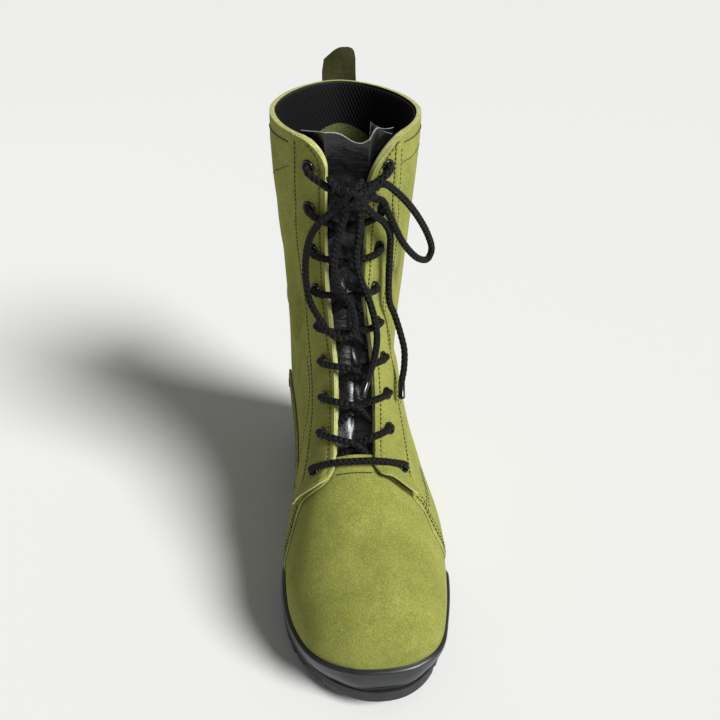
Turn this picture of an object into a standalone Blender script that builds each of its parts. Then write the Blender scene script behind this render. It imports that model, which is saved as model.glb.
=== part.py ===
"""High lace-up work boot for the left foot, built the way a maker puts it together.

The toe points along -Y, the lateral side is +X and the floor is z = 0. The origin is on the
floor at the middle of the heel's flat tread.
"""
import math

import bmesh
import bpy
import numpy as np
from mathutils import Vector
from mathutils.bvhtree import BVHTree

# Driving sizes of the sole, metres
LENGTH = 0.288
BALL_WIDTH = 0.108
HEEL_BACK = 0.034
HEEL_ROUND = 0.040
TOE_ROUND = 0.088
HEEL_THICK = 0.021
BALL_THICK = 0.014
TOE_THICK = 0.008
TOE_SPRING = 0.010
ARCH_RISE = 0.003
LUG_PITCH = 0.0100
LUG_DEPTH = 0.0022

# Driving sizes of the upper
ANKLE_HEIGHT = 0.165
SHAFT_RISE = 0.107
WALL = 0.0020
LAP = 0.0011
WELT = 0.0032
THROAT_HALF = 0.0115
EYESTAY_WIDTH = 0.027
EYELET_ROWS = 9
EYELET_FROM_EDGE = 0.0100
FIRST_OUT_MEDIAL = 0.004
FIRST_OUT_LATERAL = 0.010
CORNER_MEDIAL = 0.017
CORNER_LATERAL = 0.030

# Driving sizes of the other pieces
OVERLAY = 0.0012
GUARD_THICK = 0.0030
GUARD_HEIGHT = 0.0150
INSOLE_THICK = 0.0030
TONGUE_THICK = 0.0018
TONGUE_SINK = 0.0065
TAB_WIDTH = 0.023
TAB_RISE = 0.0215
TAB_TAIL = 0.030
TAB_THICK = 0.0024
TAB_ROUND_FROM = 0.70
TAB_CORNER = 2.6
EYELET_OUTER = 0.0046
EYELET_INNER = 0.0026
EYELET_THICK = 0.0012
VENT_OUTER = 0.0036
VENT_INNER = 0.0017
LACE = 0.0044
PATCH_HEIGHT = 0.066
TONGUE_HALF = 0.036
KNOT_HALF = (0.0125, 0.0074, 0.0105)

# Places along the upper, as rows of the last's fan
COLLAR_ROW = 16.0
HEEL_ROW = 11.0
EYELET_LOW = 6.55
EAR_ROW = 6.35
THROAT_ROW = 6.0
EAR_TIP = 5.62
QUARTER_ROW = 5.6
EAR_ROUND = 0.030
EAR_SEAM = 0.0025
EYELET_TOP_DROP = 0.015

# Places along the sole, as shares of its length from the heel
LAST_HEEL = 0.016
LAST_TOE = 0.974
FOOTBED_END = 0.006
FOOTBED_NARROW = 0.960
GUARD_CENTRE = 0.74
GUARD_END_MEDIAL = 0.655
GUARD_END_LATERAL = 0.700
LUGS_FROM = 0.455
LUGS_TO = 0.93

# Clearances
SEAT_GAP = 0.0003
LACE_GAP = 0.0006
GUARD_GAP = 0.0008
OVERLAY_GAP = 0.0005
PATCH_GAP = 0.0014
TONGUE_GAP = 0.0014


def table(names, *rows):
    """A table of hand-chosen rows, as one array for each named column."""
    return {name: np.array(column, float) for name, column in zip(names, zip(*rows))}


def follow(rows, key, column, at):
    """Read a column at any place between rows, on a smooth curve through them."""
    x, y = rows[key], rows[column]
    at = np.clip(np.asarray(at, float), x[0], x[-1])
    slope = np.gradient(y, x)
    left = np.clip(np.searchsorted(x, at, side="right") - 1, 0, len(x) - 2)
    span = x[left + 1] - x[left]
    f = (at - x[left]) / span
    rest = 1 - f
    return (
        y[left] * rest * rest * (1 + 2 * f)
        + y[left + 1] * f * f * (3 - 2 * f)
        + slope[left] * span * f * rest * rest
        - slope[left + 1] * span * f * f * rest
    )


# Half-widths of the sole from its centre line, as shares of BALL_WIDTH, from heel to toe
OUTLINE = table(
    ("along", "medial", "lateral", "swing"),
    (0.00, 0.335, 0.335, 0.000),
    (0.14, 0.345, 0.345, 0.000),
    (0.30, 0.310, 0.375, 0.000),
    (0.43, 0.310, 0.420, 0.000),
    (0.56, 0.390, 0.475, 0.000),
    (0.66, 0.465, 0.500, 0.000),
    (0.74, 0.490, 0.495, -0.006),
    (0.86, 0.485, 0.488, -0.012),
    (1.00, 0.465, 0.475, 0.020),
)


def cap(distance, depth, power=2.2):
    """Share of the full width at a distance from a round end."""
    inside = np.clip(np.asarray(distance, float) / depth, 0, 1)
    return (1 - (1 - inside) ** power) ** (1 / power)


def outline(along):
    """X of the medial and the lateral edge of the sole at a share of its length from the heel."""
    ends = cap(along * LENGTH, HEEL_ROUND) * cap((1 - along) * LENGTH, TOE_ROUND)
    middle = follow(OUTLINE, "along", "swing", along)
    medial = middle - follow(OUTLINE, "along", "medial", along) * ends
    lateral = middle + follow(OUTLINE, "along", "lateral", along) * ends
    return medial * BALL_WIDTH, lateral * BALL_WIDTH


def along_y(y):
    """Share of the sole's length at a Y."""
    return (HEEL_BACK - np.asarray(y, float)) / LENGTH


def y_along(along):
    """Y at a share of the sole's length."""
    return HEEL_BACK - np.asarray(along, float) * LENGTH


# The sole's side view: tread height as shares of ARCH_RISE and TOE_SPRING, thickness as a mix
TREAD = table(
    ("along", "arch", "spring", "heel", "toe"),
    (0.00, 0.0, 0.00, 1.00, 0.0),
    (0.24, 0.0, 0.00, 1.00, 0.0),
    (0.30, 0.9, 0.00, 0.75, 0.0),
    (0.38, 1.0, 0.00, 0.40, 0.0),
    (0.46, 0.0, 0.00, 0.12, 0.0),
    (0.60, 0.0, 0.00, 0.00, 0.0),
    (0.74, 0.0, 0.00, 0.00, 0.0),
    (0.87, 0.0, 0.35, 0.00, 0.6),
    (1.00, 0.0, 1.00, 0.00, 1.0),
)


def tread_z(along):
    """Height of the tread face above the floor, without its grooves."""
    arch = np.clip(follow(TREAD, "along", "arch", along), 0, 1)
    spring = np.clip(follow(TREAD, "along", "spring", along), 0, 1)
    return arch * ARCH_RISE + spring * TOE_SPRING


def sole_top(along):
    """Height of the sole's top face, where the upper and the insole sit."""
    heel = np.clip(follow(TREAD, "along", "heel", along), 0, 1)
    toe = np.clip(follow(TREAD, "along", "toe", along), 0, 1)
    spring = np.clip(follow(TREAD, "along", "spring", along), 0, 1)
    return (
        BALL_THICK
        + heel * (HEEL_THICK - BALL_THICK)
        + toe * (TOE_THICK - BALL_THICK)
        + spring * TOE_SPRING
    )


# Fan of sections of the last, from the toe's tip over the instep to the collar. Along is a
# share of LENGTH from the heel. Level is 0 at the sole, 1 at the ankle and 2 at the collar.
# Widths are shares of BALL_WIDTH. Wide is where a section is widest, from its top or front
# at 0 to its base or back at 1, crown and nape are the powers of its two curves, and ridge
# is how far its front line leans to the medial side.
FAN = table(
    ("row", "top", "top_level", "base", "base_level", "medial", "lateral", "wide", "crown", "nape",
     "ridge"),
    (0.0, 0.974, 0.00, 0.974, 0.00, 0.000, 0.000, 0.60, 2.1, 2.2, 0.00),
    (1.0, 0.978, 0.12, 0.945, 0.00, 0.200, 0.200, 0.66, 2.1, 2.2, 0.00),
    (2.0, 0.966, 0.23, 0.900, 0.00, 0.330, 0.330, 0.68, 2.2, 2.2, 0.00),
    (3.0, 0.925, 0.30, 0.835, 0.00, 0.400, 0.400, 0.70, 2.3, 2.2, 0.00),
    (4.0, 0.860, 0.35, 0.765, 0.00, 0.436, 0.446, 0.72, 2.3, 2.2, -0.02),
    (5.0, 0.780, 0.40, 0.680, 0.00, 0.442, 0.470, 0.74, 2.2, 2.2, -0.04),
    (6.0, 0.695, 0.48, 0.575, 0.00, 0.415, 0.476, 0.74, 2.1, 2.2, -0.06),
    (7.0, 0.620, 0.59, 0.455, 0.00, 0.355, 0.430, 0.72, 2.0, 2.2, -0.045),
    (8.0, 0.550, 0.72, 0.325, 0.00, 0.320, 0.375, 0.68, 1.9, 2.2, -0.025),
    (9.0, 0.495, 0.85, 0.190, 0.00, 0.325, 0.350, 0.66, 1.9, 2.2, -0.025),
    (10.0, 0.460, 0.98, 0.075, 0.00, 0.335, 0.340, 0.64, 1.9, 2.2, -0.045),
    (11.0, 0.440, 1.12, 0.016, 0.00, 0.335, 0.335, 0.62, 1.9, 2.2, -0.06),
    (12.0, 0.430, 1.27, 0.016, 0.30, 0.335, 0.340, 0.56, 2.0, 2.2, -0.06),
    (13.0, 0.430, 1.43, 0.040, 0.70, 0.352, 0.358, 0.52, 2.0, 2.2, -0.06),
    (14.0, 0.436, 1.60, 0.042, 1.10, 0.378, 0.384, 0.50, 2.0, 2.1, -0.06),
    (15.0, 0.446, 1.79, 0.025, 1.55, 0.396, 0.400, 0.50, 1.95, 1.95, -0.06),
    (16.0, 0.458, 1.98, 0.004, 2.00, 0.414, 0.412, 0.50, 1.9, 1.75, -0.06),
)
WIDEST_TURN = 0.56


def level_z(level):
    """Height above the sole's top at a level."""
    return ANKLE_HEIGHT * np.clip(level, 0, 1) + SHAFT_RISE * np.maximum(level - 1, 0)


def last(row, turn):
    """Point of the last's surface. Turn is -1 at the medial base, 0 at the front and 1 lateral."""
    row, turn = np.broadcast_arrays(np.asarray(row, float), np.asarray(turn, float))
    get = {name: follow(FAN, "row", name, row) for name in FAN if name != "row"}
    share = np.clip((get["base"] - LAST_HEEL) / (LAST_TOE - LAST_HEEL), 0, 1)
    medial, lateral = outline(share)
    middle = follow(OUTLINE, "along", "swing", share) * BALL_WIDTH
    inset = 1 - 2 * (WALL + LAP + WELT) / BALL_WIDTH
    edge = np.where(turn < 0, middle - medial, lateral - middle) * inset
    widest = np.where(turn < 0, get["medial"], get["lateral"]) * BALL_WIDTH
    side = np.maximum(np.maximum(widest, edge * 1.004), 1e-7)
    end = np.where(row >= HEEL_ROW, 0.0, edge / side)
    nape, crown, wide = get["nape"], get["crown"], get["wide"]
    reach = (1 - end**nape) ** (1 / nape)
    a = np.minimum(np.abs(turn) / WIDEST_TURN, 1) * math.pi / 2
    past = np.maximum(np.abs(turn) - WIDEST_TURN, 0) / (1 - WIDEST_TURN)
    b = past * np.arcsin(reach ** (nape / 2))
    share_front = wide * (1 - np.cos(a).clip(0) ** (2 / crown))
    share_back = (1 - wide) * np.sin(b) ** (2 / nape) / reach
    s = np.where(b > 0, wide + share_back, share_front)
    half = side * np.where(b > 0, np.cos(b).clip(0) ** (2 / nape), np.sin(a) ** (2 / crown))
    top_y, base_y = y_along(get["top"]), y_along(get["base"])
    top_z = sole_top(get["top"]) + level_z(get["top_level"])
    base_z = sole_top(get["base"]) + level_z(get["base_level"])
    y = top_y + (base_y - top_y) * s
    z = top_z + (base_z - top_z) * s
    swing = follow(OUTLINE, "along", "swing", np.clip(along_y(y), 0, 1)) * BALL_WIDTH
    x = swing + np.sign(turn) * half + get["ridge"] * BALL_WIDTH * (1 - s) ** 2
    return np.stack([x, y, z], axis=-1)


def unit(vectors):
    """Vectors of length 1."""
    return vectors / np.maximum(np.linalg.norm(vectors, axis=-1, keepdims=True), 1e-9)


def skin(row, turn, lift):
    """Point a lift outside the last, square to its surface, no lower than the sole's top."""
    row, turn, lift = np.broadcast_arrays(*(np.asarray(v, float) for v in (row, turn, lift)))
    step = 0.04
    here = last(row, turn)
    fore = last(np.clip(row + step, 0.05, COLLAR_ROW), turn)
    aft = last(np.clip(row - step, 0.05, COLLAR_ROW), turn)
    inner, outer = np.clip(turn - step, -1, 1), np.clip(turn + step, -1, 1)
    out = unit(np.cross(last(row, outer) - last(row, inner), fore - aft))
    seam = (np.abs(turn) > 0.999) & (row >= HEEL_ROW)
    out[..., 0] = np.where(seam, 0, out[..., 0])
    foot = (np.abs(turn) > 0.999) & (row < HEEL_ROW)
    out[..., 2] = np.where(foot, 0, out[..., 2])
    out = np.where((row < 0.05)[..., None], (0.0, -1.0, 0.0), unit(out))
    height = here[..., 2] - sole_top(np.clip(along_y(here[..., 1]), 0, 1)) - SEAT_GAP
    least = -0.5 * np.maximum(height, 0) / np.maximum(np.abs(lift), 1e-6)
    out[..., 2] = np.where(lift > 0, np.maximum(out[..., 2], least), out[..., 2])
    point = here + out * lift[..., None]
    floor = sole_top(np.clip(along_y(point[..., 1]), 0, 1)) + SEAT_GAP
    point[..., 2] = np.where(foot | (row < 0.05), floor, np.maximum(point[..., 2], floor))
    return point


TURNS = np.linspace(0, 1, 161)


def turn_at(row, side, distance):
    """Turn at a distance round the section from its front line. Side is -1 medial, 1 lateral."""
    path = last(row, side * TURNS)
    length = np.concatenate([[0], np.cumsum(np.linalg.norm(np.diff(path, axis=0), axis=1))])
    return side * float(np.interp(distance, length, TURNS))


def row_below_collar(distance):
    """Row whose front line is a distance below the collar."""
    rows = np.linspace(THROAT_ROW, COLLAR_ROW, 201)
    path = last(rows, 0.0)
    steps = np.linalg.norm(np.diff(path, axis=0), axis=1)
    left = np.concatenate([np.cumsum(steps[::-1])[::-1], [0]])
    return float(np.interp(-distance, -left, rows))


def throat_edge(row, side):
    """Distance of the facing's edge from the front line, with its round corner at the collar."""
    corner = CORNER_MEDIAL if side < 0 else CORNER_LATERAL
    start = row_below_collar(corner)
    up = min(max((row - start) / (COLLAR_ROW - start), 0), 1)
    return THROAT_HALF + corner * (1 - math.sqrt(1 - min(up, 0.999) ** 2))


def material(name, color, roughness, metallic=0.0):
    """A plain Principled material."""
    made = bpy.data.materials.new(name)
    made.use_nodes = True
    shader = made.node_tree.nodes["Principled BSDF"]
    shader.inputs["Base Color"].default_value = (*color, 1)
    shader.inputs["Roughness"].default_value = roughness
    shader.inputs["Metallic"].default_value = metallic
    return made


def add(name, mesh_bm, finish, smooth=True):
    """Link a bmesh as a named object with one material."""
    bmesh.ops.remove_doubles(mesh_bm, verts=mesh_bm.verts, dist=2e-6)
    bmesh.ops.recalc_face_normals(mesh_bm, faces=mesh_bm.faces)
    mesh = bpy.data.meshes.new(name)
    mesh_bm.to_mesh(mesh)
    mesh_bm.free()
    mesh.materials.append(finish)
    if smooth:
        mesh.shade_smooth()
        mesh.set_sharp_from_angle(angle=math.radians(40))
    thing = bpy.data.objects.new(name, mesh)
    bpy.context.collection.objects.link(thing)
    return thing


def shell(outer, inner, present=None, close_rows=False):
    """A closed wall between two grids of points, open at the edges of the cells present."""
    bm = bmesh.new()
    count = outer.shape[:2]
    if present is None:
        present = np.ones((count[0] - 1, count[1] - 1), bool)
    faces = {}
    for grid, flip in ((outer, False), (inner, True)):
        verts = {}
        for i, j in zip(*np.nonzero(present)):
            cell = []
            for key in ((i, j), (i + 1, j), (i + 1, j + 1), (i, j + 1)):
                if close_rows and key[1] == count[1] - 1 and close_rows(key[0]):
                    key = (key[0], 0)
                if key not in verts:
                    verts[key] = bm.verts.new(grid[key])
                cell.append(verts[key])
            for corners in ((0, 1, 2), (0, 2, 3)):
                triangle = [cell[corner] for corner in corners]
                if len(set(triangle)) == 3:
                    bm.faces.new(triangle[::-1] if flip else triangle)
        faces[flip] = verts
    rims = [edge for edge in bm.edges if len(edge.link_faces) == 1]
    back = {vert: key for key, vert in faces[False].items()}
    for edge in rims:
        if edge.verts[0] in back and edge.verts[1] in back:
            a, b = (back[v] for v in edge.verts)
            bm.faces.new((faces[False][a], faces[False][b], faces[True][b], faces[True][a]))
    return bm


# Rows of the upper's mesh, close together at the toe, the heel and the round corners
UPPER_ROWS = (
    0.0, 0.3, 0.7, 1.2, 1.8, 2.5, 3.3, 4.2, 5.0, 5.57, QUARTER_ROW, 5.8, THROAT_ROW, 6.5, 7.0, 7.5, 8.0,
    8.5, 9.0, 9.5, 10.0, 10.4, 10.7, 10.9, HEEL_ROW, 11.3, 11.8, 12.4, 13.1, 13.8, 14.4, 14.8, 15.2, 15.5,
    15.75, 15.93, COLLAR_ROW,
)
SIDE_CELLS = 10
MIDDLE_CELLS = 4


def upper_turns(row):
    """Turns of the mesh columns of one row, with the facing's edges among them."""
    edges = [turn_at(row, side, throat_edge(row, side)) for side in (-1, 1)]
    if row < 1:
        edges = [edge * row + side * 0.25 * (1 - row) for edge, side in zip(edges, (-1, 1))]
    shares = np.linspace(0, 1, SIDE_CELLS + 1) ** 0.94
    medial = edges[0] + (-1 - edges[0]) * shares[::-1]
    lateral = edges[1] + (1 - edges[1]) * shares
    middle = np.linspace(edges[0], edges[1], MIDDLE_CELLS + 1)[1:-1]
    return np.concatenate([medial, middle, lateral])


def build_upper(finish):
    """Vamp and quarters as one hollow wall, with a step where the quarters lap the vamp."""
    rows = np.array(UPPER_ROWS)
    turns = np.array([upper_turns(row) for row in rows])
    lap = np.zeros_like(turns)
    lap[rows >= QUARTER_ROW, :] = LAP
    middle = slice(SIDE_CELLS, SIDE_CELLS + MIDDLE_CELLS + 1)
    lap[rows < THROAT_ROW, middle] = 0
    outer = skin(rows[:, None], turns, WALL + lap)
    inner = skin(rows[:, None], turns, 0.0)
    present = np.ones((len(rows) - 1, turns.shape[1] - 1), bool)
    present[rows[:-1] >= THROAT_ROW, SIDE_CELLS:SIDE_CELLS + MIDDLE_CELLS] = False
    bm = shell(outer, inner, present, lambda i: rows[i] >= HEEL_ROW)
    return add("upper", bm, finish)


def overlay(name, finish, rows, medial_side, near, far, cells, low=None, thick=OVERLAY):
    """A panel over the upper, between two distances from the front line in each row."""
    side = -1 if medial_side else 1
    low = WALL + LAP + OVERLAY_GAP if low is None else low
    turns = []
    for row in rows:
        start, stop = turn_at(row, side, near(row)), turn_at(row, side, far(row))
        turns.append(np.linspace(start, stop, cells + 1))
    turns = np.array(turns)
    at = np.array(rows)[:, None]
    return add(name, shell(skin(at, turns, low + thick), skin(at, turns, low)), finish)


EYESTAY_ROWS = (EAR_TIP, 5.66, 5.74, 5.86) + tuple(row for row in UPPER_ROWS if row > 5.9)


def eyestay_near(side):
    """Inner edge of a facing: the throat's edge, rounded outward at its lower end."""
    def near(row):
        turned = min(max((EAR_ROW - row) / (EAR_ROW - EAR_TIP), 0), 0.999)
        return throat_edge(row, side) + EAR_ROUND * (1 - math.sqrt(1 - turned**2))
    return near


def eyestay_far(side):
    """Outer seam of a facing."""
    def far(row):
        return max(THROAT_HALF + EYESTAY_WIDTH, eyestay_near(side)(row) + EAR_SEAM)
    return far


def build_outsole(finish):
    """Rubber sole as a row of cross-sections, with cross lugs that show as ribs at its sides."""
    stops = [0.0015, 0.006, 0.015, 0.03, 0.055, 0.09, 0.125]
    stops += list(np.arange(0.17, 0.44, 0.045))
    grooves = []
    place = LUGS_FROM
    while place < LUGS_TO:
        half = LUG_PITCH / LENGTH / 2
        grooves += [(place, 0), (place + half * 0.9, 0), (place + half, 1), (place + half * 1.8, 1)]
        place += half * 2
    plain = [(stop, 0) for stop in stops]
    toe = [(stop, 0) for stop in (0.945, 0.962, 0.976, 0.988, 0.995, 0.9992)]
    stations = plain + grooves + [pair for pair in toe if pair[0] > grooves[-1][0] + 0.004]
    along = np.array([pair[0] for pair in stations])
    cut = np.array([pair[1] for pair in stations], float)
    medial, lateral = outline(along)
    bottom = tread_z(along) + cut * LUG_DEPTH
    top = sole_top(along)
    middle = (medial + lateral) / 2
    half = (lateral - medial) / 2
    rings = []
    # Shares of the half-width, heights between tread and top, and depth of the side ribs
    profile = (
        (0.955, 0.0, 0.0), (0.990, 0.25, 0.5), (1.0, 0.55, 0.5), (0.990, 0.80, 0.0), (0.975, 1.0, 0.0),
    )
    for side in (1, -1):
        order = profile if side > 0 else profile[::-1]
        for width, height, rib in order:
            x = middle + side * (half * width - cut * rib * LUG_DEPTH)
            z = bottom + (top - bottom) * height
            rings.append(np.stack([x, y_along(along), z], axis=-1))
    grid = np.stack(rings, axis=1)
    bm = bmesh.new()
    verts = [[bm.verts.new(point) for point in ring] for ring in grid]
    count = grid.shape[1]
    for one, two in zip(verts, verts[1:]):
        for j in range(count):
            bm.faces.new((one[j], one[(j + 1) % count], two[(j + 1) % count], two[j]))
    bm.faces.new(verts[0])
    bm.faces.new(verts[-1][::-1])
    return add("outsole", bm, finish)


def toe_surface():
    """A search tree on the smooth outside of the vamp, to seat the guard along a line."""
    rows = np.linspace(0.0, QUARTER_ROW, 90)
    turns = np.linspace(-1, 1, 97)
    grid = skin(rows[:, None], turns[None, :], WALL)
    across = len(turns)
    corners = [i * across + j for i in range(len(rows) - 1) for j in range(across - 1)]
    cells = [(c, c + 1, c + across + 1, c + across) for c in corners]
    return BVHTree.FromPolygons([Vector(point) for point in grid.reshape(-1, 3)], cells)


def build_guard(finish, surface):
    """Rubber toe guard: a band round the toe that sits on the sole and leans on the vamp."""
    centre_y = float(y_along(GUARD_CENTRE))
    ends = []
    for side, along in ((-1, GUARD_END_MEDIAL), (1, GUARD_END_LATERAL)):
        edge = outline(np.array([along]))[0 if side < 0 else 1][0]
        ends.append(math.atan2(edge, centre_y - float(y_along(along))))
    turns = np.linspace(ends[0], ends[1], 37)
    heights = np.array([0.0, 0.30, 0.62, 0.88, 1.0])
    thick = np.array([1.0, 1.03, 0.97, 0.68, 0.28])
    outer, inner = [], []
    for number, turn in enumerate(turns):
        way = Vector((math.sin(turn), -math.cos(turn), 0))
        fade = min(1, min(number + 0.35, len(turns) - 1 - number + 0.35) / 3.0)
        out_ring, in_ring = [], []
        for height, depth in zip(heights, thick):
            rise = 2 * SEAT_GAP + height * GUARD_HEIGHT * (0.45 + 0.55 * fade)
            z = BALL_THICK + TOE_SPRING + rise
            for _ in range(4):
                start = Vector((0.0, centre_y, z))
                hit = surface.ray_cast(start, way)
                z = float(sole_top(np.clip(along_y(hit[0].y), 0, 1))) + rise
            in_ring.append(start + way * (hit[3] + GUARD_GAP))
            out_ring.append(start + way * (hit[3] + GUARD_GAP + GUARD_THICK * depth))
        outer.append(out_ring)
        inner.append(in_ring)
    outer, inner = np.array(outer), np.array(inner)
    for ring in (outer, inner):
        floor = sole_top(np.clip(along_y(ring[..., 1]), 0, 1)) + SEAT_GAP
        ring[..., 0, 2] = floor[..., 0]
    return add("toe_bumper", shell(outer, inner), finish)


def build_insole(finish):
    """Flat footbed on the sole, just inside the upper's lower edge."""
    along = np.concatenate([[0.0006, 0.004, 0.012, 0.03, 0.06], np.linspace(0.1, 0.86, 13),
                            [0.91, 0.95, 0.98, 0.995, 0.9994]])
    medial, lateral = outline(along)
    inset = 1 - 2 * (WALL + LAP + WELT + 3 * SEAT_GAP) / BALL_WIDTH
    middle = follow(OUTLINE, "along", "swing", along) * BALL_WIDTH
    place = LAST_HEEL + along * (LAST_TOE - LAST_HEEL)
    shift = follow(OUTLINE, "along", "swing", place) * BALL_WIDTH
    left = shift + (medial - middle) * inset
    right = shift + (lateral - middle) * inset
    y = y_along(LAST_HEEL + FOOTBED_END + along * (LAST_TOE - LAST_HEEL - 2 * FOOTBED_END))
    low = sole_top(along_y(y)) + SEAT_GAP
    high = low + INSOLE_THICK
    middle = (left + right) / 2
    half = (right - left) / 2 * FOOTBED_NARROW
    rings = np.stack([
        np.stack([middle + half * share, y, z], axis=-1)
        for share, z in ((-1, low), (0, low), (1, low), (1, high), (0, high), (-1, high))
    ], axis=1)
    bm = bmesh.new()
    verts = [[bm.verts.new(point) for point in ring] for ring in rings]
    for one, two in zip(verts, verts[1:]):
        for j in range(6):
            bm.faces.new((one[j], one[(j + 1) % 6], two[(j + 1) % 6], two[j]))
    bm.faces.new(verts[0])
    bm.faces.new(verts[-1][::-1])
    return add("insole", bm, finish)


TONGUE_ROWS = (5.6, 5.8, 6.3, 7.0, 7.7, 8.5, 9.3, 10.0, 10.7, 11.3, 12.1, 13.1, 14.1, 15.0, 15.9)


def tongue_lift(row, distance):
    """Depth of the tongue's outer face below the last: it sinks in the throat."""
    start = min(max((row - 5.7) / 1.6, 0), 1)
    inside = max(1 - (abs(distance) / (THROAT_HALF * 1.25)) ** 2, 0)
    return -(TONGUE_GAP + TONGUE_SINK * inside * start)


def build_tongue(finish):
    """Thin leather tongue behind the facings, hollowed along the throat."""
    spots = np.linspace(-TONGUE_HALF, TONGUE_HALF, 11)
    turns = np.array([[turn_at(row, math.copysign(1, spot), abs(spot)) for spot in spots]
                      for row in TONGUE_ROWS])
    lifts = np.array([[tongue_lift(row, spot) for spot in spots] for row in TONGUE_ROWS])
    rows = np.array(TONGUE_ROWS)[:, None]
    outer = skin(rows, turns, lifts)
    inner = skin(rows, turns, lifts - TONGUE_THICK)
    return add("tongue", shell(outer, inner), finish)


def build_tab(finish):
    """Pull tab: a strap sewn down the back, standing up over the collar with a round top."""
    low = WALL + LAP + 2 * OVERLAY_GAP
    start = row_back(TAB_TAIL)
    rows = np.linspace(start, COLLAR_ROW, 5)
    shares = np.linspace(-1, 1, 5)
    outer, inner = [], []
    for row in rows:
        for grid, lift in ((outer, low + TAB_THICK), (inner, low)):
            middle = skin(row, 1.0, lift)
            ring = []
            for share in shares:
                x = share * TAB_WIDTH / 2
                turn = 1 - abs(x) / (BALL_WIDTH * 1.55)
                near = skin(row, math.copysign(turn, x) if x else 1.0, lift)
                ring.append((x, near[1], middle[2]))
            grid.append(ring)
    rise = unit(np.array(outer[-1][2]) - np.array(outer[-2][2]))
    lean = np.array([0.0, rise[1] * 0.4, rise[2]])
    for height in (0.35, TAB_ROUND_FROM, 0.86, 0.95, 1.0):
        up = max((height - TAB_ROUND_FROM) / (1 - TAB_ROUND_FROM), 0)
        tuck = max(1 - up**TAB_CORNER, 0.05) ** (1 / TAB_CORNER)
        flat = max(1 - height / TAB_ROUND_FROM, 0)
        for grid, base in ((outer, np.array(outer[4])), (inner, np.array(inner[4]))):
            ring = []
            for point in base:
                y = base[2][1] + (point[1] - base[2][1]) * flat + lean[1] * height * TAB_RISE
                ring.append((point[0] * tuck, y, point[2] + lean[2] * height * TAB_RISE))
            grid.append(ring)
    return add("pull_tab", shell(np.array(outer), np.array(inner)), finish)


def row_back(distance):
    """Row whose back seam is a distance below the collar."""
    rows = np.linspace(HEEL_ROW, COLLAR_ROW, 121)
    path = last(rows, 1.0)
    steps = np.linalg.norm(np.diff(path, axis=0), axis=1)
    left = np.concatenate([np.cumsum(steps[::-1])[::-1], [0]])
    return float(np.interp(-distance, -left, rows))


def ring_at(name, finish, place, out, outer, inner, thick):
    """An eyelet's rim, lying on the leather at a place, facing out."""
    bm = bmesh.new()
    around = 8
    profile = ((inner, 0.0), (outer, 0.0), (outer * 0.9, thick), (inner * 1.15, thick))
    turn = Vector(out).to_track_quat("Z", "Y")
    rings = []
    for number in range(around):
        angle = 2 * math.pi * number / around
        rings.append([
            bm.verts.new(Vector(place) + turn @ Vector((r * math.cos(angle), r * math.sin(angle), h)))
            for r, h in profile
        ])
    for one, two in zip(rings, rings[1:] + rings[:1]):
        for j in range(len(profile)):
            k = (j + 1) % len(profile)
            bm.faces.new((one[j], one[k], two[k], two[j]))
    return add(name, bm, finish)


def seat(row, turn, lift):
    """Place and outward direction on the upper."""
    low, high = skin(row, turn, lift), skin(row, turn, lift + 0.001)
    return low, unit(high - low)


def eyelet_rows():
    """Rows of the eyelets, evenly spaced along the front line."""
    rows = np.linspace(EYELET_LOW, COLLAR_ROW, 201)
    path = last(rows, 0.0)
    steps = np.linalg.norm(np.diff(path, axis=0), axis=1)
    length = np.concatenate([[0], np.cumsum(steps)])
    places = np.linspace(0, length[-1] - EYELET_TOP_DROP, EYELET_ROWS)
    return [float(np.interp(place, length, rows)) for place in places]


# Medial arch patch seen from the side: heights as shares of PATCH_HEIGHT above the sole
PATCH = table(
    ("along", "height"),
    (0.462, 0.10),
    (0.452, 0.36),
    (0.425, 0.58),
    (0.385, 0.76),
    (0.330, 0.90),
    (0.265, 0.985),
    (0.200, 1.00),
    (0.165, 0.985),
    (0.150, 0.93),
    (0.144, 0.84),
)


def quarter_surface():
    """A search tree on the smooth outside of the quarters."""
    rows = np.linspace(QUARTER_ROW, 13.5, 120)
    turns = np.linspace(-1, 1, 121)
    grid = skin(rows[:, None], turns[None, :], WALL + LAP)
    across = len(turns)
    corners = [i * across + j for i in range(len(rows) - 1) for j in range(across - 1)]
    cells = [(c, c + 1, c + across + 1, c + across) for c in corners]
    return BVHTree.FromPolygons([Vector(point) for point in grid.reshape(-1, 3)], cells)


def on_medial(surface, along, height, lift):
    """Point over the medial quarter at a share of the length and a height above the sole."""
    y = float(y_along(along))
    start = Vector((-BALL_WIDTH, y, float(sole_top(along)) + height))
    hit = surface.ray_cast(start, Vector((1, 0, 0)))
    out = hit[1] if hit[1].x < 0 else -hit[1]
    return hit[0] + out * lift, out


def build_patch(finish, surface):
    """Arch patch with a round top, lying on the medial quarter down to the sole."""
    places = np.concatenate([np.linspace(PATCH["along"][0], 0.20, 15), PATCH["along"][-3:]])
    key = -PATCH["along"]
    outer, inner = [], []
    for along in places:
        top = PATCH_HEIGHT * float(np.interp(-along, key, PATCH["height"]))
        out_ring, in_ring = [], []
        for share in np.linspace(0, 1, 6):
            height = 2 * SEAT_GAP + (top - 2 * SEAT_GAP) * share
            low, out = on_medial(surface, along, height, PATCH_GAP)
            in_ring.append(low)
            out_ring.append(low + Vector((out.x, out.y, max(out.z, 0))) * OVERLAY)
        outer.append(out_ring)
        inner.append(in_ring)
    return add("arch_patch", shell(np.array(outer), np.array(inner)), finish)


def over(row, across, lift):
    """Point over the upper at a distance to the lateral side of its front line."""
    side = math.copysign(1, across)
    return Vector(skin(row, turn_at(row, side, abs(across)), lift))


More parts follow.
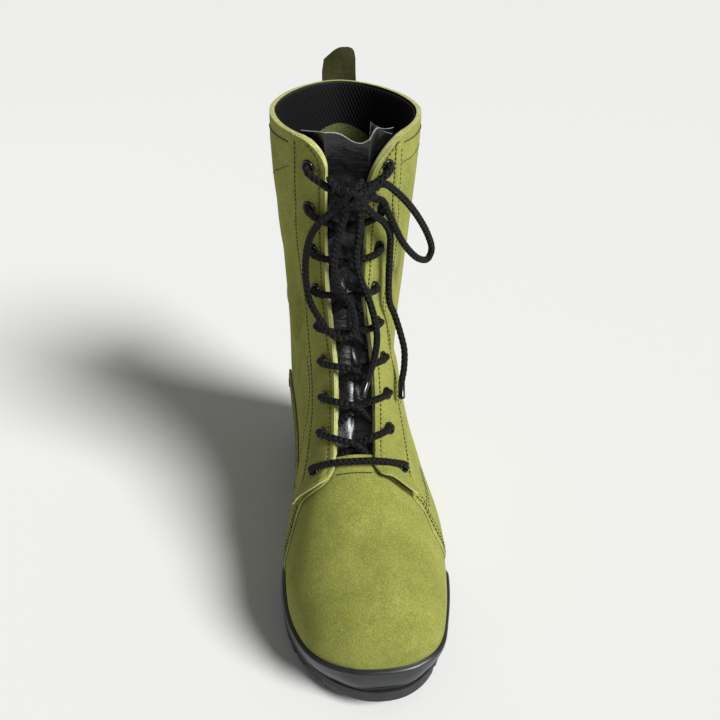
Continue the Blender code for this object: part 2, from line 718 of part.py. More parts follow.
def tube(name, points, radius, finish, sides=6):
    """A round cord through points, as a mesh with flat ends."""
    points = [Vector(point) for point in points]
    bm = bmesh.new()
    rings = []
    frame = None
    for number, point in enumerate(points):
        ahead = points[min(number + 1, len(points) - 1)] - points[max(number - 1, 0)]
        ahead.normalize()
        if frame is None:
            frame = ahead.orthogonal().normalized()
        frame = (frame - ahead * frame.dot(ahead)).normalized()
        other = ahead.cross(frame)
        rings.append([
            bm.verts.new(point + (frame * math.cos(turn) + other * math.sin(turn)) * radius)
            for turn in (2 * math.pi * k / sides for k in range(sides))
        ])
    for one, two in zip(rings, rings[1:]):
        for j in range(sides):
            bm.faces.new((one[j], one[(j + 1) % sides], two[(j + 1) % sides], two[j]))
    bm.faces.new(rings[0])
    bm.faces.new(rings[-1][::-1])
    return add(name, bm, finish)


def smooth_path(points, pieces):
    """Points along a smooth curve through the given ones."""
    points = np.array([tuple(point) for point in points])
    way = np.linspace(0, len(points) - 1, pieces + 1)
    rows = {"at": np.arange(len(points), dtype=float)}
    return np.stack([follow({**rows, "v": points[:, k]}, "at", "v", way) for k in range(3)], axis=-1)


def build_crossings(finish):
    """The bottom bar and the crossings above it, each one solid, clear of what they pass."""
    rows = eyelet_rows()
    over_facing = WALL + LAP + OVERLAY_GAP + OVERLAY + LACE_GAP + LACE / 2
    reach = THROAT_HALF + EYELET_FROM_EDGE - EYELET_OUTER - LACE_GAP
    short = reach - 2 * LACE_GAP
    spots = [(-reach - FIRST_OUT_MEDIAL, over_facing), (-THROAT_HALF, over_facing),
             (0.0, over_facing - 0.002), (THROAT_HALF, over_facing), (reach + FIRST_OUT_LATERAL, over_facing)]
    bar = [over(rows[0], across, lift) for across, lift in spots]
    tube("lace_bar", smooth_path(bar, 8), LACE / 2, finish)
    for number, (row, above) in enumerate(zip(rows, rows[1:]), 1):
        strands = []
        for side in (-1, 1):
            inside = THROAT_HALF - LACE / 2 - LACE_GAP
            start = row + (above - row) * 0.22
            below = throat_edge(start, -side) - LACE / 2 - LACE_GAP
            points = [
                over(start, -side * below, -0.0014),
                over(row + (above - row) * 0.42, side * 0.0001, 0.0030 + side * 0.0004),
                over(row + (above - row) * 0.66, side * inside, over_facing),
                over(row + (above - row) * 0.80, side * (THROAT_HALF + 0.002), over_facing),
                over(row + (above - row) * 0.90, side * short, over_facing),
            ]
            points = points[:3] if number == EYELET_ROWS - 1 else points
            if number == EYELET_ROWS - 1:
                points[2] = over(row + (above - row) * 0.60, side * inside * 0.8, 0.0032)
            name = f"lace_crossing_{number}" + ("" if side < 0 else "_half")
            strands.append(tube(name, smooth_path(points, 6), LACE / 2, finish))
        strands[1].hide_render = True
        strands[1].display_type = "WIRE"
        join = strands[0].modifiers.new("join", "BOOLEAN")
        join.operation = "UNION"
        join.solver = "EXACT"
        join.object = strands[1]


# Free lace: rows of the fan, distance to the lateral side of the front line and lift over the
# last, both in millimetres, chosen by hand from the knot outward
LACE_ROUTES = {
    "lace_loop_lateral": (
        (15.00, 14.5, 14.0), (14.75, 21.0, 14.5), (14.35, 30.0, 15.5), (13.95, 40.0, 17.0),
        (13.60, 49.0, 20.0), (13.30, 55.0, 23.0), (13.02, 54.0, 22.0), (12.95, 46.0, 19.0),
        (13.05, 37.0, 16.5), (13.30, 29.0, 15.0), (13.75, 22.0, 14.5), (14.25, 17.0, 14.0),
        (14.50, 14.5, 13.5),
    ),
    "lace_end_lateral": (
        (14.10, 10.5, 12.6), (13.80, 17.0, 12.6), (13.40, 22.0, 12.0), (12.80, 24.5, 11.0),
        (12.00, 27.0, 10.4), (11.20, 30.5, 11.0), (10.50, 34.0, 12.0), (9.90, 36.0, 13.5),
        (9.40, 36.5, 14.0), (8.90, 34.0, 12.5), (8.50, 31.0, 10.5), (8.10, 29.5, 9.8),
    ),
    "lace_loop_medial": (
        (14.10, -8.0, 13.0), (13.80, -12.5, 13.0), (13.30, -17.0, 12.3), (12.60, -20.0, 12.3),
        (11.80, -20.5, 12.3), (11.00, -18.0, 12.3), (10.30, -13.5, 12.3), (9.75, -8.5, 12.3),
        (9.45, -3.5, 12.3), (9.62, 0.5, 12.3), (10.30, 0.5, 12.3), (11.20, -2.5, 12.3),
        (12.20, -5.0, 12.3), (13.20, -4.0, 12.3), (14.05, -1.5, 13.0),
    ),
    "lace_end_medial": (
        (14.05, 5.0, 13.0), (13.30, 4.5, 12.6), (12.40, 3.5, 12.3), (11.50, 5.0, 12.3), (10.70, 7.0, 12.3),
        (10.00, 9.0, 12.3), (9.40, 9.0, 12.3), (8.80, 6.5, 12.3), (8.30, 3.5, 12.3), (7.90, 1.5, 12.3),
    ),
}
KNOT = {"row": 14.72, "across": 0.0015, "lift": 0.0128}


def build_free_lace(finish):
    """Knot, loops and ends of the tied lace."""
    for name, route in LACE_ROUTES.items():
        points = [over(row, across / 1000, lift / 1000) for row, across, lift in route]
        tube(name, smooth_path(points, len(points) * 3 // 2), LACE / 2, finish)
    bm = bmesh.new()
    bmesh.ops.create_icosphere(bm, subdivisions=2, radius=1.0)
    bmesh.ops.scale(bm, vec=KNOT_HALF, verts=bm.verts)
    bmesh.ops.translate(bm, vec=over(KNOT["row"], KNOT["across"], KNOT["lift"]), verts=bm.verts)
    add("lace_knot", bm, finish)


def main():
    for thing in list(bpy.data.objects):
        bpy.data.objects.remove(thing, do_unlink=True)
    suede = material("olive_suede", (0.20, 0.22, 0.06), 0.95)
    rubber = material("black_rubber", (0.02, 0.02, 0.022), 0.45)
    leather = material("black_leather", (0.02, 0.02, 0.02), 0.35)
    footbed = material("black_footbed", (0.03, 0.03, 0.03), 0.9)
    enamel = material("black_enamel", (0.01, 0.01, 0.01), 0.3, 0.4)
    build_outsole(rubber)
    build_upper(suede)
    build_guard(rubber, toe_surface())
    build_insole(footbed)
    build_tongue(leather)
    build_tab(suede)
    surface = quarter_surface()
    build_patch(suede, surface)
    for name, along, height in (("front", 0.440, 0.30), ("rear", 0.178, 0.84)):
        lift = PATCH_GAP + OVERLAY + 2 * SEAT_GAP
        place, out = on_medial(surface, along, PATCH_HEIGHT * height, lift)
        ring_at(f"vent_eyelet_{name}", enamel, place, out, VENT_OUTER, VENT_INNER, EYELET_THICK)
    for name, side in (("medial", -1), ("lateral", 1)):
        overlay(f"eyestay_{name}", suede, EYESTAY_ROWS, side < 0, eyestay_near(side), eyestay_far(side), 4)
        for number, row in enumerate(eyelet_rows(), 1):
            edge = min(throat_edge(row, side), THROAT_HALF + 0.002)
            if number == 1:
                edge += FIRST_OUT_MEDIAL if side < 0 else FIRST_OUT_LATERAL
            turn = turn_at(row, side, edge + EYELET_FROM_EDGE)
            place, out = seat(row, turn, WALL + LAP + OVERLAY_GAP + OVERLAY + 2 * SEAT_GAP)
            ring_at(f"eyelet_{name}_{number}", enamel, place, out, EYELET_OUTER, EYELET_INNER, EYELET_THICK)
    lace = material("black_braid", (0.012, 0.012, 0.014), 0.8)
    build_crossings(lace)
    build_free_lace(lace)


main()
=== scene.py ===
"""Looks of the high lace-up work boot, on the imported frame.

The last, its sections and the lace's routes are the same as in the part's source, so every piece
here lies where its solid lies. The toe points along -Y, +X is the lateral side of this left boot.
"""
import math

import bmesh
import bpy
import numpy as np
from mathutils import Matrix, Vector
from mathutils.bvhtree import BVHTree


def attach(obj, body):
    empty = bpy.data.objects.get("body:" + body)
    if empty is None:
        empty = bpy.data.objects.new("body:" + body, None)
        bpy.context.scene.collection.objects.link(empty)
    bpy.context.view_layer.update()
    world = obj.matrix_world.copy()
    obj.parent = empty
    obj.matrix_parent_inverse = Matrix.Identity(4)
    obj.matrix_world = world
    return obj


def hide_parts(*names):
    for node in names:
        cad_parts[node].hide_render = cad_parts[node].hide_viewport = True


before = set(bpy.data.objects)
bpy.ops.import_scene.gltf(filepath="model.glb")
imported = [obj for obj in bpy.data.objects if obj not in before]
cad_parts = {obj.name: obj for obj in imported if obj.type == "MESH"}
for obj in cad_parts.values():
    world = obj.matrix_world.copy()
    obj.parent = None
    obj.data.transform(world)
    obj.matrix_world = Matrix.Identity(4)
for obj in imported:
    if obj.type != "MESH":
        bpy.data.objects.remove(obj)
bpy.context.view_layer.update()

# Numbers of the part's source: sizes in metres, and places on the last as rows and turns or as
# shares of the sole's length
LENGTH = 0.288
BALL_WIDTH = 0.108
HEEL_BACK = 0.034
HEEL_ROUND = 0.040
TOE_ROUND = 0.088
HEEL_THICK = 0.021
BALL_THICK = 0.014
TOE_THICK = 0.008
TOE_SPRING = 0.010
ARCH_RISE = 0.003
LUG_PITCH = 0.0100
LUG_DEPTH = 0.0022
ANKLE_HEIGHT = 0.165
SHAFT_RISE = 0.107
WALL = 0.0020
LAP = 0.0011
WELT = 0.0032
THROAT_HALF = 0.0115
EYESTAY_WIDTH = 0.027
EYELET_ROWS = 9
EYELET_FROM_EDGE = 0.0100
FIRST_OUT_MEDIAL = 0.004
FIRST_OUT_LATERAL = 0.010
CORNER_MEDIAL = 0.017
CORNER_LATERAL = 0.030
OVERLAY = 0.0012
GUARD_THICK = 0.0030
GUARD_HEIGHT = 0.0150
INSOLE_THICK = 0.0030
TONGUE_THICK = 0.0018
TONGUE_SINK = 0.0065
TAB_WIDTH = 0.023
TAB_RISE = 0.0215
TAB_TAIL = 0.030
TAB_THICK = 0.0024
KNOT = {"row": 14.72, "across": 0.0015, "lift": 0.0128}
EYELET_OUTER = 0.0046
EYELET_INNER = 0.0026
EYELET_THICK = 0.0012
VENT_OUTER = 0.0036
VENT_INNER = 0.0017
LACE = 0.0044
PATCH_HEIGHT = 0.066
SEAT_GAP = 0.0003
OVERLAY_GAP = 0.0005
TONGUE_GAP = 0.0014
EYELET_LOW = 6.55
EYELET_TOP_DROP = 0.015
TONGUE_HALF = 0.036
GUARD_END_MEDIAL = 0.655
GUARD_END_LATERAL = 0.700
LAST_TOE = 0.974
LAST_HEEL = 0.016
COLLAR_ROW = 16.0
THROAT_ROW = 6.0
QUARTER_ROW = 5.6
HEEL_ROW = 11.0
WIDEST_TURN = 0.56
COUNTER_TOP = 15.42
COUNTER_DROP = 9.0
FACING_TOP = WALL + LAP + OVERLAY_GAP + OVERLAY


def table(names, *rows):
    """A table of given rows, as one array for each named column."""
    return {name: np.array(column, float) for name, column in zip(names, zip(*rows))}


def follow(rows, key, column, at):
    """Read a column at any place between rows, on a smooth curve through them."""
    x, y = rows[key], rows[column]
    at = np.clip(np.asarray(at, float), x[0], x[-1])
    slope = np.gradient(y, x)
    left = np.clip(np.searchsorted(x, at, side="right") - 1, 0, len(x) - 2)
    span = x[left + 1] - x[left]
    f = (at - x[left]) / span
    rest = 1 - f
    return (
        y[left] * rest * rest * (1 + 2 * f)
        + y[left + 1] * f * f * (3 - 2 * f)
        + slope[left] * span * f * rest * rest
        - slope[left + 1] * span * f * f * rest
    )


OUTLINE = table(
    ("along", "medial", "lateral", "swing"),
    (0.00, 0.335, 0.335, 0.000),
    (0.14, 0.345, 0.345, 0.000),
    (0.30, 0.310, 0.375, 0.000),
    (0.43, 0.310, 0.420, 0.000),
    (0.56, 0.390, 0.475, 0.000),
    (0.66, 0.465, 0.500, 0.000),
    (0.74, 0.490, 0.495, -0.006),
    (0.86, 0.485, 0.488, -0.012),
    (1.00, 0.465, 0.475, 0.020),
)
TREAD = table(
    ("along", "arch", "spring", "heel", "toe"),
    (0.00, 0.0, 0.00, 1.00, 0.0),
    (0.24, 0.0, 0.00, 1.00, 0.0),
    (0.30, 0.9, 0.00, 0.75, 0.0),
    (0.38, 1.0, 0.00, 0.40, 0.0),
    (0.46, 0.0, 0.00, 0.12, 0.0),
    (0.60, 0.0, 0.00, 0.00, 0.0),
    (0.74, 0.0, 0.00, 0.00, 0.0),
    (0.87, 0.0, 0.35, 0.00, 0.6),
    (1.00, 0.0, 1.00, 0.00, 1.0),
)
FAN = table(
    ("row", "top", "top_level", "base", "base_level", "medial", "lateral", "wide", "crown", "nape",
     "ridge"),
    (0.0, 0.974, 0.00, 0.974, 0.00, 0.000, 0.000, 0.60, 2.1, 2.2, 0.00),
    (1.0, 0.978, 0.12, 0.945, 0.00, 0.200, 0.200, 0.66, 2.1, 2.2, 0.00),
    (2.0, 0.966, 0.23, 0.900, 0.00, 0.330, 0.330, 0.68, 2.2, 2.2, 0.00),
    (3.0, 0.925, 0.30, 0.835, 0.00, 0.400, 0.400, 0.70, 2.3, 2.2, 0.00),
    (4.0, 0.860, 0.35, 0.765, 0.00, 0.436, 0.446, 0.72, 2.3, 2.2, -0.02),
    (5.0, 0.780, 0.40, 0.680, 0.00, 0.442, 0.470, 0.74, 2.2, 2.2, -0.04),
    (6.0, 0.695, 0.48, 0.575, 0.00, 0.415, 0.476, 0.74, 2.1, 2.2, -0.06),
    (7.0, 0.620, 0.59, 0.455, 0.00, 0.355, 0.430, 0.72, 2.0, 2.2, -0.045),
    (8.0, 0.550, 0.72, 0.325, 0.00, 0.320, 0.375, 0.68, 1.9, 2.2, -0.025),
    (9.0, 0.495, 0.85, 0.190, 0.00, 0.325, 0.350, 0.66, 1.9, 2.2, -0.025),
    (10.0, 0.460, 0.98, 0.075, 0.00, 0.335, 0.340, 0.64, 1.9, 2.2, -0.045),
    (11.0, 0.440, 1.12, 0.016, 0.00, 0.335, 0.335, 0.62, 1.9, 2.2, -0.06),
    (12.0, 0.430, 1.27, 0.016, 0.30, 0.335, 0.340, 0.56, 2.0, 2.2, -0.06),
    (13.0, 0.430, 1.43, 0.040, 0.70, 0.352, 0.358, 0.52, 2.0, 2.2, -0.06),
    (14.0, 0.436, 1.60, 0.042, 1.10, 0.378, 0.384, 0.50, 2.0, 2.1, -0.06),
    (15.0, 0.446, 1.79, 0.025, 1.55, 0.396, 0.400, 0.50, 1.95, 1.95, -0.06),
    (16.0, 0.458, 1.98, 0.004, 2.00, 0.414, 0.412, 0.50, 1.9, 1.75, -0.06),
)
PATCH = table(
    ("along", "height"),
    (0.462, 0.10),
    (0.452, 0.36),
    (0.425, 0.58),
    (0.385, 0.76),
    (0.330, 0.90),
    (0.265, 0.985),
    (0.200, 1.00),
    (0.165, 0.985),
    (0.150, 0.93),
    (0.144, 0.84),
)


def cap(distance, depth, power=2.2):
    """Share of the full width at a distance from a round end."""
    inside = np.clip(np.asarray(distance, float) / depth, 0, 1)
    return (1 - (1 - inside) ** power) ** (1 / power)


def outline(along):
    """X of the medial and the lateral edge of the sole at a share of its length from the heel."""
    ends = cap(along * LENGTH, HEEL_ROUND) * cap((1 - along) * LENGTH, TOE_ROUND)
    middle = follow(OUTLINE, "along", "swing", along)
    medial = middle - follow(OUTLINE, "along", "medial", along) * ends
    lateral = middle + follow(OUTLINE, "along", "lateral", along) * ends
    return medial * BALL_WIDTH, lateral * BALL_WIDTH


def along_y(y):
    """Share of the sole's length at a Y."""
    return (HEEL_BACK - np.asarray(y, float)) / LENGTH


def y_along(along):
    """Y at a share of the sole's length."""
    return HEEL_BACK - np.asarray(along, float) * LENGTH


def tread_z(along):
    """Height of the tread face above the floor, without its grooves."""
    arch = np.clip(follow(TREAD, "along", "arch", along), 0, 1)
    spring = np.clip(follow(TREAD, "along", "spring", along), 0, 1)
    return arch * ARCH_RISE + spring * TOE_SPRING


def sole_top(along):
    """Height of the sole's top face, where the upper and the insole sit."""
    heel = np.clip(follow(TREAD, "along", "heel", along), 0, 1)
    toe = np.clip(follow(TREAD, "along", "toe", along), 0, 1)
    spring = np.clip(follow(TREAD, "along", "spring", along), 0, 1)
    return (
        BALL_THICK
        + heel * (HEEL_THICK - BALL_THICK)
        + toe * (TOE_THICK - BALL_THICK)
        + spring * TOE_SPRING
    )


def level_z(level):
    """Height above the sole's top at a level."""
    return ANKLE_HEIGHT * np.clip(level, 0, 1) + SHAFT_RISE * np.maximum(level - 1, 0)


def last(row, turn):
    """Point of the last's surface. Turn is -1 at the medial base, 0 at the front and 1 lateral."""
    row, turn = np.broadcast_arrays(np.asarray(row, float), np.asarray(turn, float))
    get = {name: follow(FAN, "row", name, row) for name in FAN if name != "row"}
    share = np.clip((get["base"] - LAST_HEEL) / (LAST_TOE - LAST_HEEL), 0, 1)
    medial, lateral = outline(share)
    middle = follow(OUTLINE, "along", "swing", share) * BALL_WIDTH
    inset = 1 - 2 * (WALL + LAP + WELT) / BALL_WIDTH
    edge = np.where(turn < 0, middle - medial, lateral - middle) * inset
    widest = np.where(turn < 0, get["medial"], get["lateral"]) * BALL_WIDTH
    side = np.maximum(np.maximum(widest, edge * 1.004), 1e-7)
    end = np.where(row >= HEEL_ROW, 0.0, edge / side)
    nape, crown, wide = get["nape"], get["crown"], get["wide"]
    reach = (1 - end**nape) ** (1 / nape)
    a = np.minimum(np.abs(turn) / WIDEST_TURN, 1) * math.pi / 2
    past = np.maximum(np.abs(turn) - WIDEST_TURN, 0) / (1 - WIDEST_TURN)
    b = past * np.arcsin(reach ** (nape / 2))
    share_front = wide * (1 - np.cos(a).clip(0) ** (2 / crown))
    share_back = (1 - wide) * np.sin(b) ** (2 / nape) / reach
    s = np.where(b > 0, wide + share_back, share_front)
    half = side * np.where(b > 0, np.cos(b).clip(0) ** (2 / nape), np.sin(a) ** (2 / crown))
    top_y, base_y = y_along(get["top"]), y_along(get["base"])
    top_z = sole_top(get["top"]) + level_z(get["top_level"])
    base_z = sole_top(get["base"]) + level_z(get["base_level"])
    y = top_y + (base_y - top_y) * s
    z = top_z + (base_z - top_z) * s
    swing = follow(OUTLINE, "along", "swing", np.clip(along_y(y), 0, 1)) * BALL_WIDTH
    x = swing + np.sign(turn) * half + get["ridge"] * BALL_WIDTH * (1 - s) ** 2
    return np.stack([x, y, z], axis=-1)


def unit(vectors):
    """Vectors of length 1."""
    return vectors / np.maximum(np.linalg.norm(vectors, axis=-1, keepdims=True), 1e-9)


def skin(row, turn, lift):
    """Point a lift outside the last, square to its surface, no lower than the sole's top."""
    row, turn, lift = np.broadcast_arrays(*(np.asarray(v, float) for v in (row, turn, lift)))
    step = 0.04
    here = last(row, turn)
    fore = last(np.clip(row + step, 0.05, COLLAR_ROW), turn)
    aft = last(np.clip(row - step, 0.05, COLLAR_ROW), turn)
    inner, outer = np.clip(turn - step, -1, 1), np.clip(turn + step, -1, 1)
    out = unit(np.cross(last(row, outer) - last(row, inner), fore - aft))
    seam = (np.abs(turn) > 0.999) & (row >= HEEL_ROW)
    out[..., 0] = np.where(seam, 0, out[..., 0])
    foot = (np.abs(turn) > 0.999) & (row < HEEL_ROW)
    out[..., 2] = np.where(foot, 0, out[..., 2])
    out = np.where((row < 0.05)[..., None], (0.0, -1.0, 0.0), unit(out))
    height = here[..., 2] - sole_top(np.clip(along_y(here[..., 1]), 0, 1)) - SEAT_GAP
    least = -0.5 * np.maximum(height, 0) / np.maximum(np.abs(lift), 1e-6)
    out[..., 2] = np.where(lift > 0, np.maximum(out[..., 2], least), out[..., 2])
    point = here + out * lift[..., None]
    floor = sole_top(np.clip(along_y(point[..., 1]), 0, 1)) + SEAT_GAP
    point[..., 2] = np.where(foot | (row < 0.05), floor, np.maximum(point[..., 2], floor))
    return point


# Distance round each section from its front line, by row and turn, and the turn by row and distance
CHART_ROWS = np.linspace(0, COLLAR_ROW, 641)
CHART_TURNS = np.linspace(0, 1, 161)
CHART_SPOTS = np.linspace(0, 0.16, 641)
DISTANCE = {}
TURN = {}
for chart_side in (-1, 1):
    chart_path = last(CHART_ROWS[:, None], chart_side * CHART_TURNS[None, :])
    chart_steps = np.linalg.norm(np.diff(chart_path, axis=1), axis=2)
    DISTANCE[chart_side] = np.pad(np.cumsum(chart_steps, axis=1), ((0, 0), (1, 0)))
    TURN[chart_side] = np.array([np.interp(CHART_SPOTS, line, CHART_TURNS) for line in DISTANCE[chart_side]])


def read_chart(chart, row, value, step):
    """Values of a chart between its rows and columns, with the sign of the value kept."""
    row, value = np.broadcast_arrays(np.asarray(row, float), np.asarray(value, float))
    i = np.clip(row / CHART_ROWS[1], 0, len(CHART_ROWS) - 1.001)
    j = np.clip(np.abs(value) / step, 0, chart[1].shape[1] - 1.001)
    a, b = i.astype(int), j.astype(int)
    f, g = i - a, j - b
    read = [
        (grid[a, b] * (1 - f) + grid[a + 1, b] * f) * (1 - g)
        + (grid[a, b + 1] * (1 - f) + grid[a + 1, b + 1] * f) * g
        for grid in (chart[-1], chart[1])
    ]
    return np.where(value < 0, -read[0], read[1])


def turn_at(row, across):
    """Turn at a signed distance round the section from its front line."""
    return read_chart(TURN, row, across, CHART_SPOTS[1])


def across_at(row, turn):
    """Signed distance round the section from its front line at a turn."""
    return read_chart(DISTANCE, row, turn, CHART_TURNS[1])


def row_lengths(low, high, turn):
    """Rows and the distance along one turn from the last of them."""
    rows = np.linspace(low, high, 201)
    steps = np.linalg.norm(np.diff(last(rows, turn), axis=0), axis=1)
    return rows, np.concatenate([np.cumsum(steps[::-1])[::-1], [0]])


FRONT_LENGTHS = row_lengths(THROAT_ROW, COLLAR_ROW, 0.0)
BACK_LENGTHS = row_lengths(HEEL_ROW, COLLAR_ROW, 1.0)


def row_below(lengths, distance):
    """Row at a distance below the collar."""
    return float(np.interp(-distance, -lengths[1], lengths[0]))


CORNER_START = {
    -1: row_below(FRONT_LENGTHS, CORNER_MEDIAL),
    1: row_below(FRONT_LENGTHS, CORNER_LATERAL),
}


def throat_edge(row, side):
    """Distance of the facing's edge from the front line, with its round corner at the collar."""
    corner = CORNER_MEDIAL if side < 0 else CORNER_LATERAL
    start = CORNER_START[side]
    up = np.clip((np.asarray(row, float) - start) / (COLLAR_ROW - start), 0, 0.999)
    return THROAT_HALF + corner * (1 - np.sqrt(1 - up**2))


# Front edge of the quarters and their rounded ears, by signed distance from the front line in mm
EAR = table(
    ("across", "row"),
    (-95.0, 4.95), (-66.0, 5.10), (-50.0, 5.42), (-45.0, 5.66), (-41.0, 5.86), (-35.0, 5.97), (-26.0, 6.03),
    (-19.0, 6.10), (-14.5, 6.22), (-12.0, 6.38), (12.0, 6.42), (14.5, 6.30), (21.0, 6.20), (31.0, 5.99),
    (42.0, 5.80), (49.0, 5.60), (53.0, 5.35), (66.0, 5.00), (95.0, 4.90),
)


def eyelet_rows():
    """Rows of the eyelets, evenly spaced along the front line."""
    rows = np.linspace(EYELET_LOW, COLLAR_ROW, 201)
    steps = np.linalg.norm(np.diff(last(rows, 0.0), axis=0), axis=1)
    length = np.concatenate([[0], np.cumsum(steps)])
    places = np.linspace(0, length[-1] - EYELET_TOP_DROP, EYELET_ROWS)
    return [float(np.interp(place, length, rows)) for place in places]


def eyelet_across(row, side):
    """Distance of an eyelet from the front line. The bottom pair stands wider apart."""
    out = FIRST_OUT_MEDIAL if side < 0 else FIRST_OUT_LATERAL
    out = out if row < EYELET_LOW + 0.1 else 0.0
    return side * (min(float(throat_edge(row, side)), THROAT_HALF + 0.002) + EYELET_FROM_EDGE + out)


def front_row(across):
    """Row of the quarters' front edge at a signed distance from the front line."""
    return follow(EAR, "across", "row", across * 1000)


# Soft troughs and ridges of the leather: two ends as row and distance to the
# lateral side in millimetres, width and depth in millimetres, depth below zero for a ridge
CREASES = (
    ((12.3, -50.0), (11.5, -82.0), 6.0, 2.4),
    ((11.2, -44.0), (10.5, -78.0), 6.0, 2.6),
    ((11.8, -46.0), (11.1, -74.0), 4.5, -1.3),
    ((10.3, -42.0), (9.5, -72.0), 6.5, 1.8),
    ((13.3, -56.0), (12.9, -84.0), 8.0, 1.4),
    ((9.2, -48.0), (8.3, -66.0), 7.0, 1.2),
    ((14.3, -50.0), (13.9, -76.0), 9.0, 1.0),
    ((11.7, 44.0), (11.1, 76.0), 6.0, 2.4),
    ((10.9, 42.0), (10.0, 72.0), 6.5, 2.1),
    ((11.3, 46.0), (10.6, 70.0), 4.5, -1.2),
    ((12.6, 50.0), (12.8, 82.0), 8.0, 1.6),
    ((9.6, 44.0), (8.7, 64.0), 7.0, 1.3),
    ((13.8, 52.0), (14.1, 78.0), 9.0, 1.0),
    ((15.8, 40.0), (13.2, 46.0), 5.5, 1.2),
    ((15.6, -44.0), (12.9, -48.0), 9.0, 0.9),
    ((7.2, -46.0), (6.2, -66.0), 7.0, 0.9),
    ((7.4, 44.0), (6.6, 64.0), 7.0, 1.1),
    ((5.2, -26.0), (4.9, 26.0), 7.0, 0.5),
    ((4.6, -18.0), (4.4, 22.0), 9.0, 0.3),
)
DEEPEST = 2.6
# Length that one row stands for: on the upper in millimetres, in the lining's pattern in metres
ROW_PITCH = 17.0
LINING_PITCH = 0.02125


def relief(row, across):
    """Height of the leather's creases and its slow waves at a place, in metres."""
    row, across = np.broadcast_arrays(np.asarray(row, float), np.asarray(across, float))
    u, v = row * ROW_PITCH, across * 1000
    total = np.zeros(u.shape)
    for (row_a, v_a), (row_b, v_b), width, depth in CREASES:
        start = np.array([row_a * ROW_PITCH, v_a])
        way = np.array([row_b * ROW_PITCH, v_b]) - start
        span = np.hypot(*way)
        share = ((u - start[0]) * way[0] + (v - start[1]) * way[1]) / span**2
        bend = 0.12 * width * np.sin(share * 7.0 + v_a)
        off = ((u - start[0]) * way[1] - (v - start[1]) * way[0]) / span + bend
        fade = np.exp(-(np.maximum(np.abs(share - 0.5) - 0.28, 0) / 0.20) ** 2)
        hollow = np.exp(-(off / width) ** 2) - 0.45 * np.exp(-((np.abs(off) - 1.7 * width) / width) ** 2)
        total -= depth * fade * hollow
    shaft = np.clip((row - 9.5) / 2.5, 0, 1)
    away = np.clip((np.abs(v) - 30) / 20, 0, 1)
    slow = np.sin(v * 0.071 + 0.9 * np.sin(u * 0.031)) * 0.7 + np.sin(u * 0.083 + v * 0.037 + 1.1) * 0.5
    total += shaft * away * slow
    fine = np.sin(u * 0.23 + 1.3 * np.sin(v * 0.11)) * np.sin(v * 0.19 + 0.7) * 0.10
    total += fine * np.clip(np.abs(v) / 14, 0, 1)
    ends = np.clip((COLLAR_ROW - row) / 0.5, 0, 1) * np.clip((row - 3.0) / 2.0, 0, 1)
    base = np.clip((92 - np.abs(v)) / 12, 0, 1)
    return np.where(row > 3, np.maximum(total * ends * base, -DEEPEST), 0) / 1000


# Colours, shader nodes and materials

# Length of one turn of the braid's strands, and how many cross round the cord
BRAID_PITCH = 0.0034
BRAID_STRANDS = 3


def shade(code):
    """Linear colour from a hex sRGB code."""
    parts = [int(code[k:k + 2], 16) / 255 for k in (0, 2, 4)]
    return tuple(p / 12.92 if p <= 0.04045 else ((p + 0.055) / 1.055) ** 2.4 for p in parts) + (1.0,)


def node(tree, kind, output, inputs=None, stops=(), **settings):
    """Add a node with its settings, inputs and colour stops, and give one of its outputs."""
    made = tree.nodes.new("ShaderNode" + kind)
    for name, value in settings.items():
        setattr(made, name, value)
    for name, value in (inputs or {}).items():
        if isinstance(value, bpy.types.NodeSocket):
            tree.links.new(value, made.inputs[name])
        else:
            made.inputs[name].default_value = value
    if stops:
        colors = made.color_ramp.elements
        while len(colors) < len(stops):
            colors.new(0.5)
        for element, (place, code) in zip(colors, stops):
            element.position = place
            element.color = shade(code)
    return made.outputs[output]


def blank(name):
    """A material with only its Principled shader."""
    made = bpy.data.materials.new(name)
    made.use_nodes = True
    tree = made.node_tree
    return made, tree, tree.nodes["Principled BSDF"]


# Sizes of patterns are in millimetres: a texture's scale is PER_METRE over the size. The suede's
# fibres and the cloth's weave are drawn coarser than real ones, so that they show
PER_METRE = 1000
MM = 0.001
MESH_HOLES = 2.3


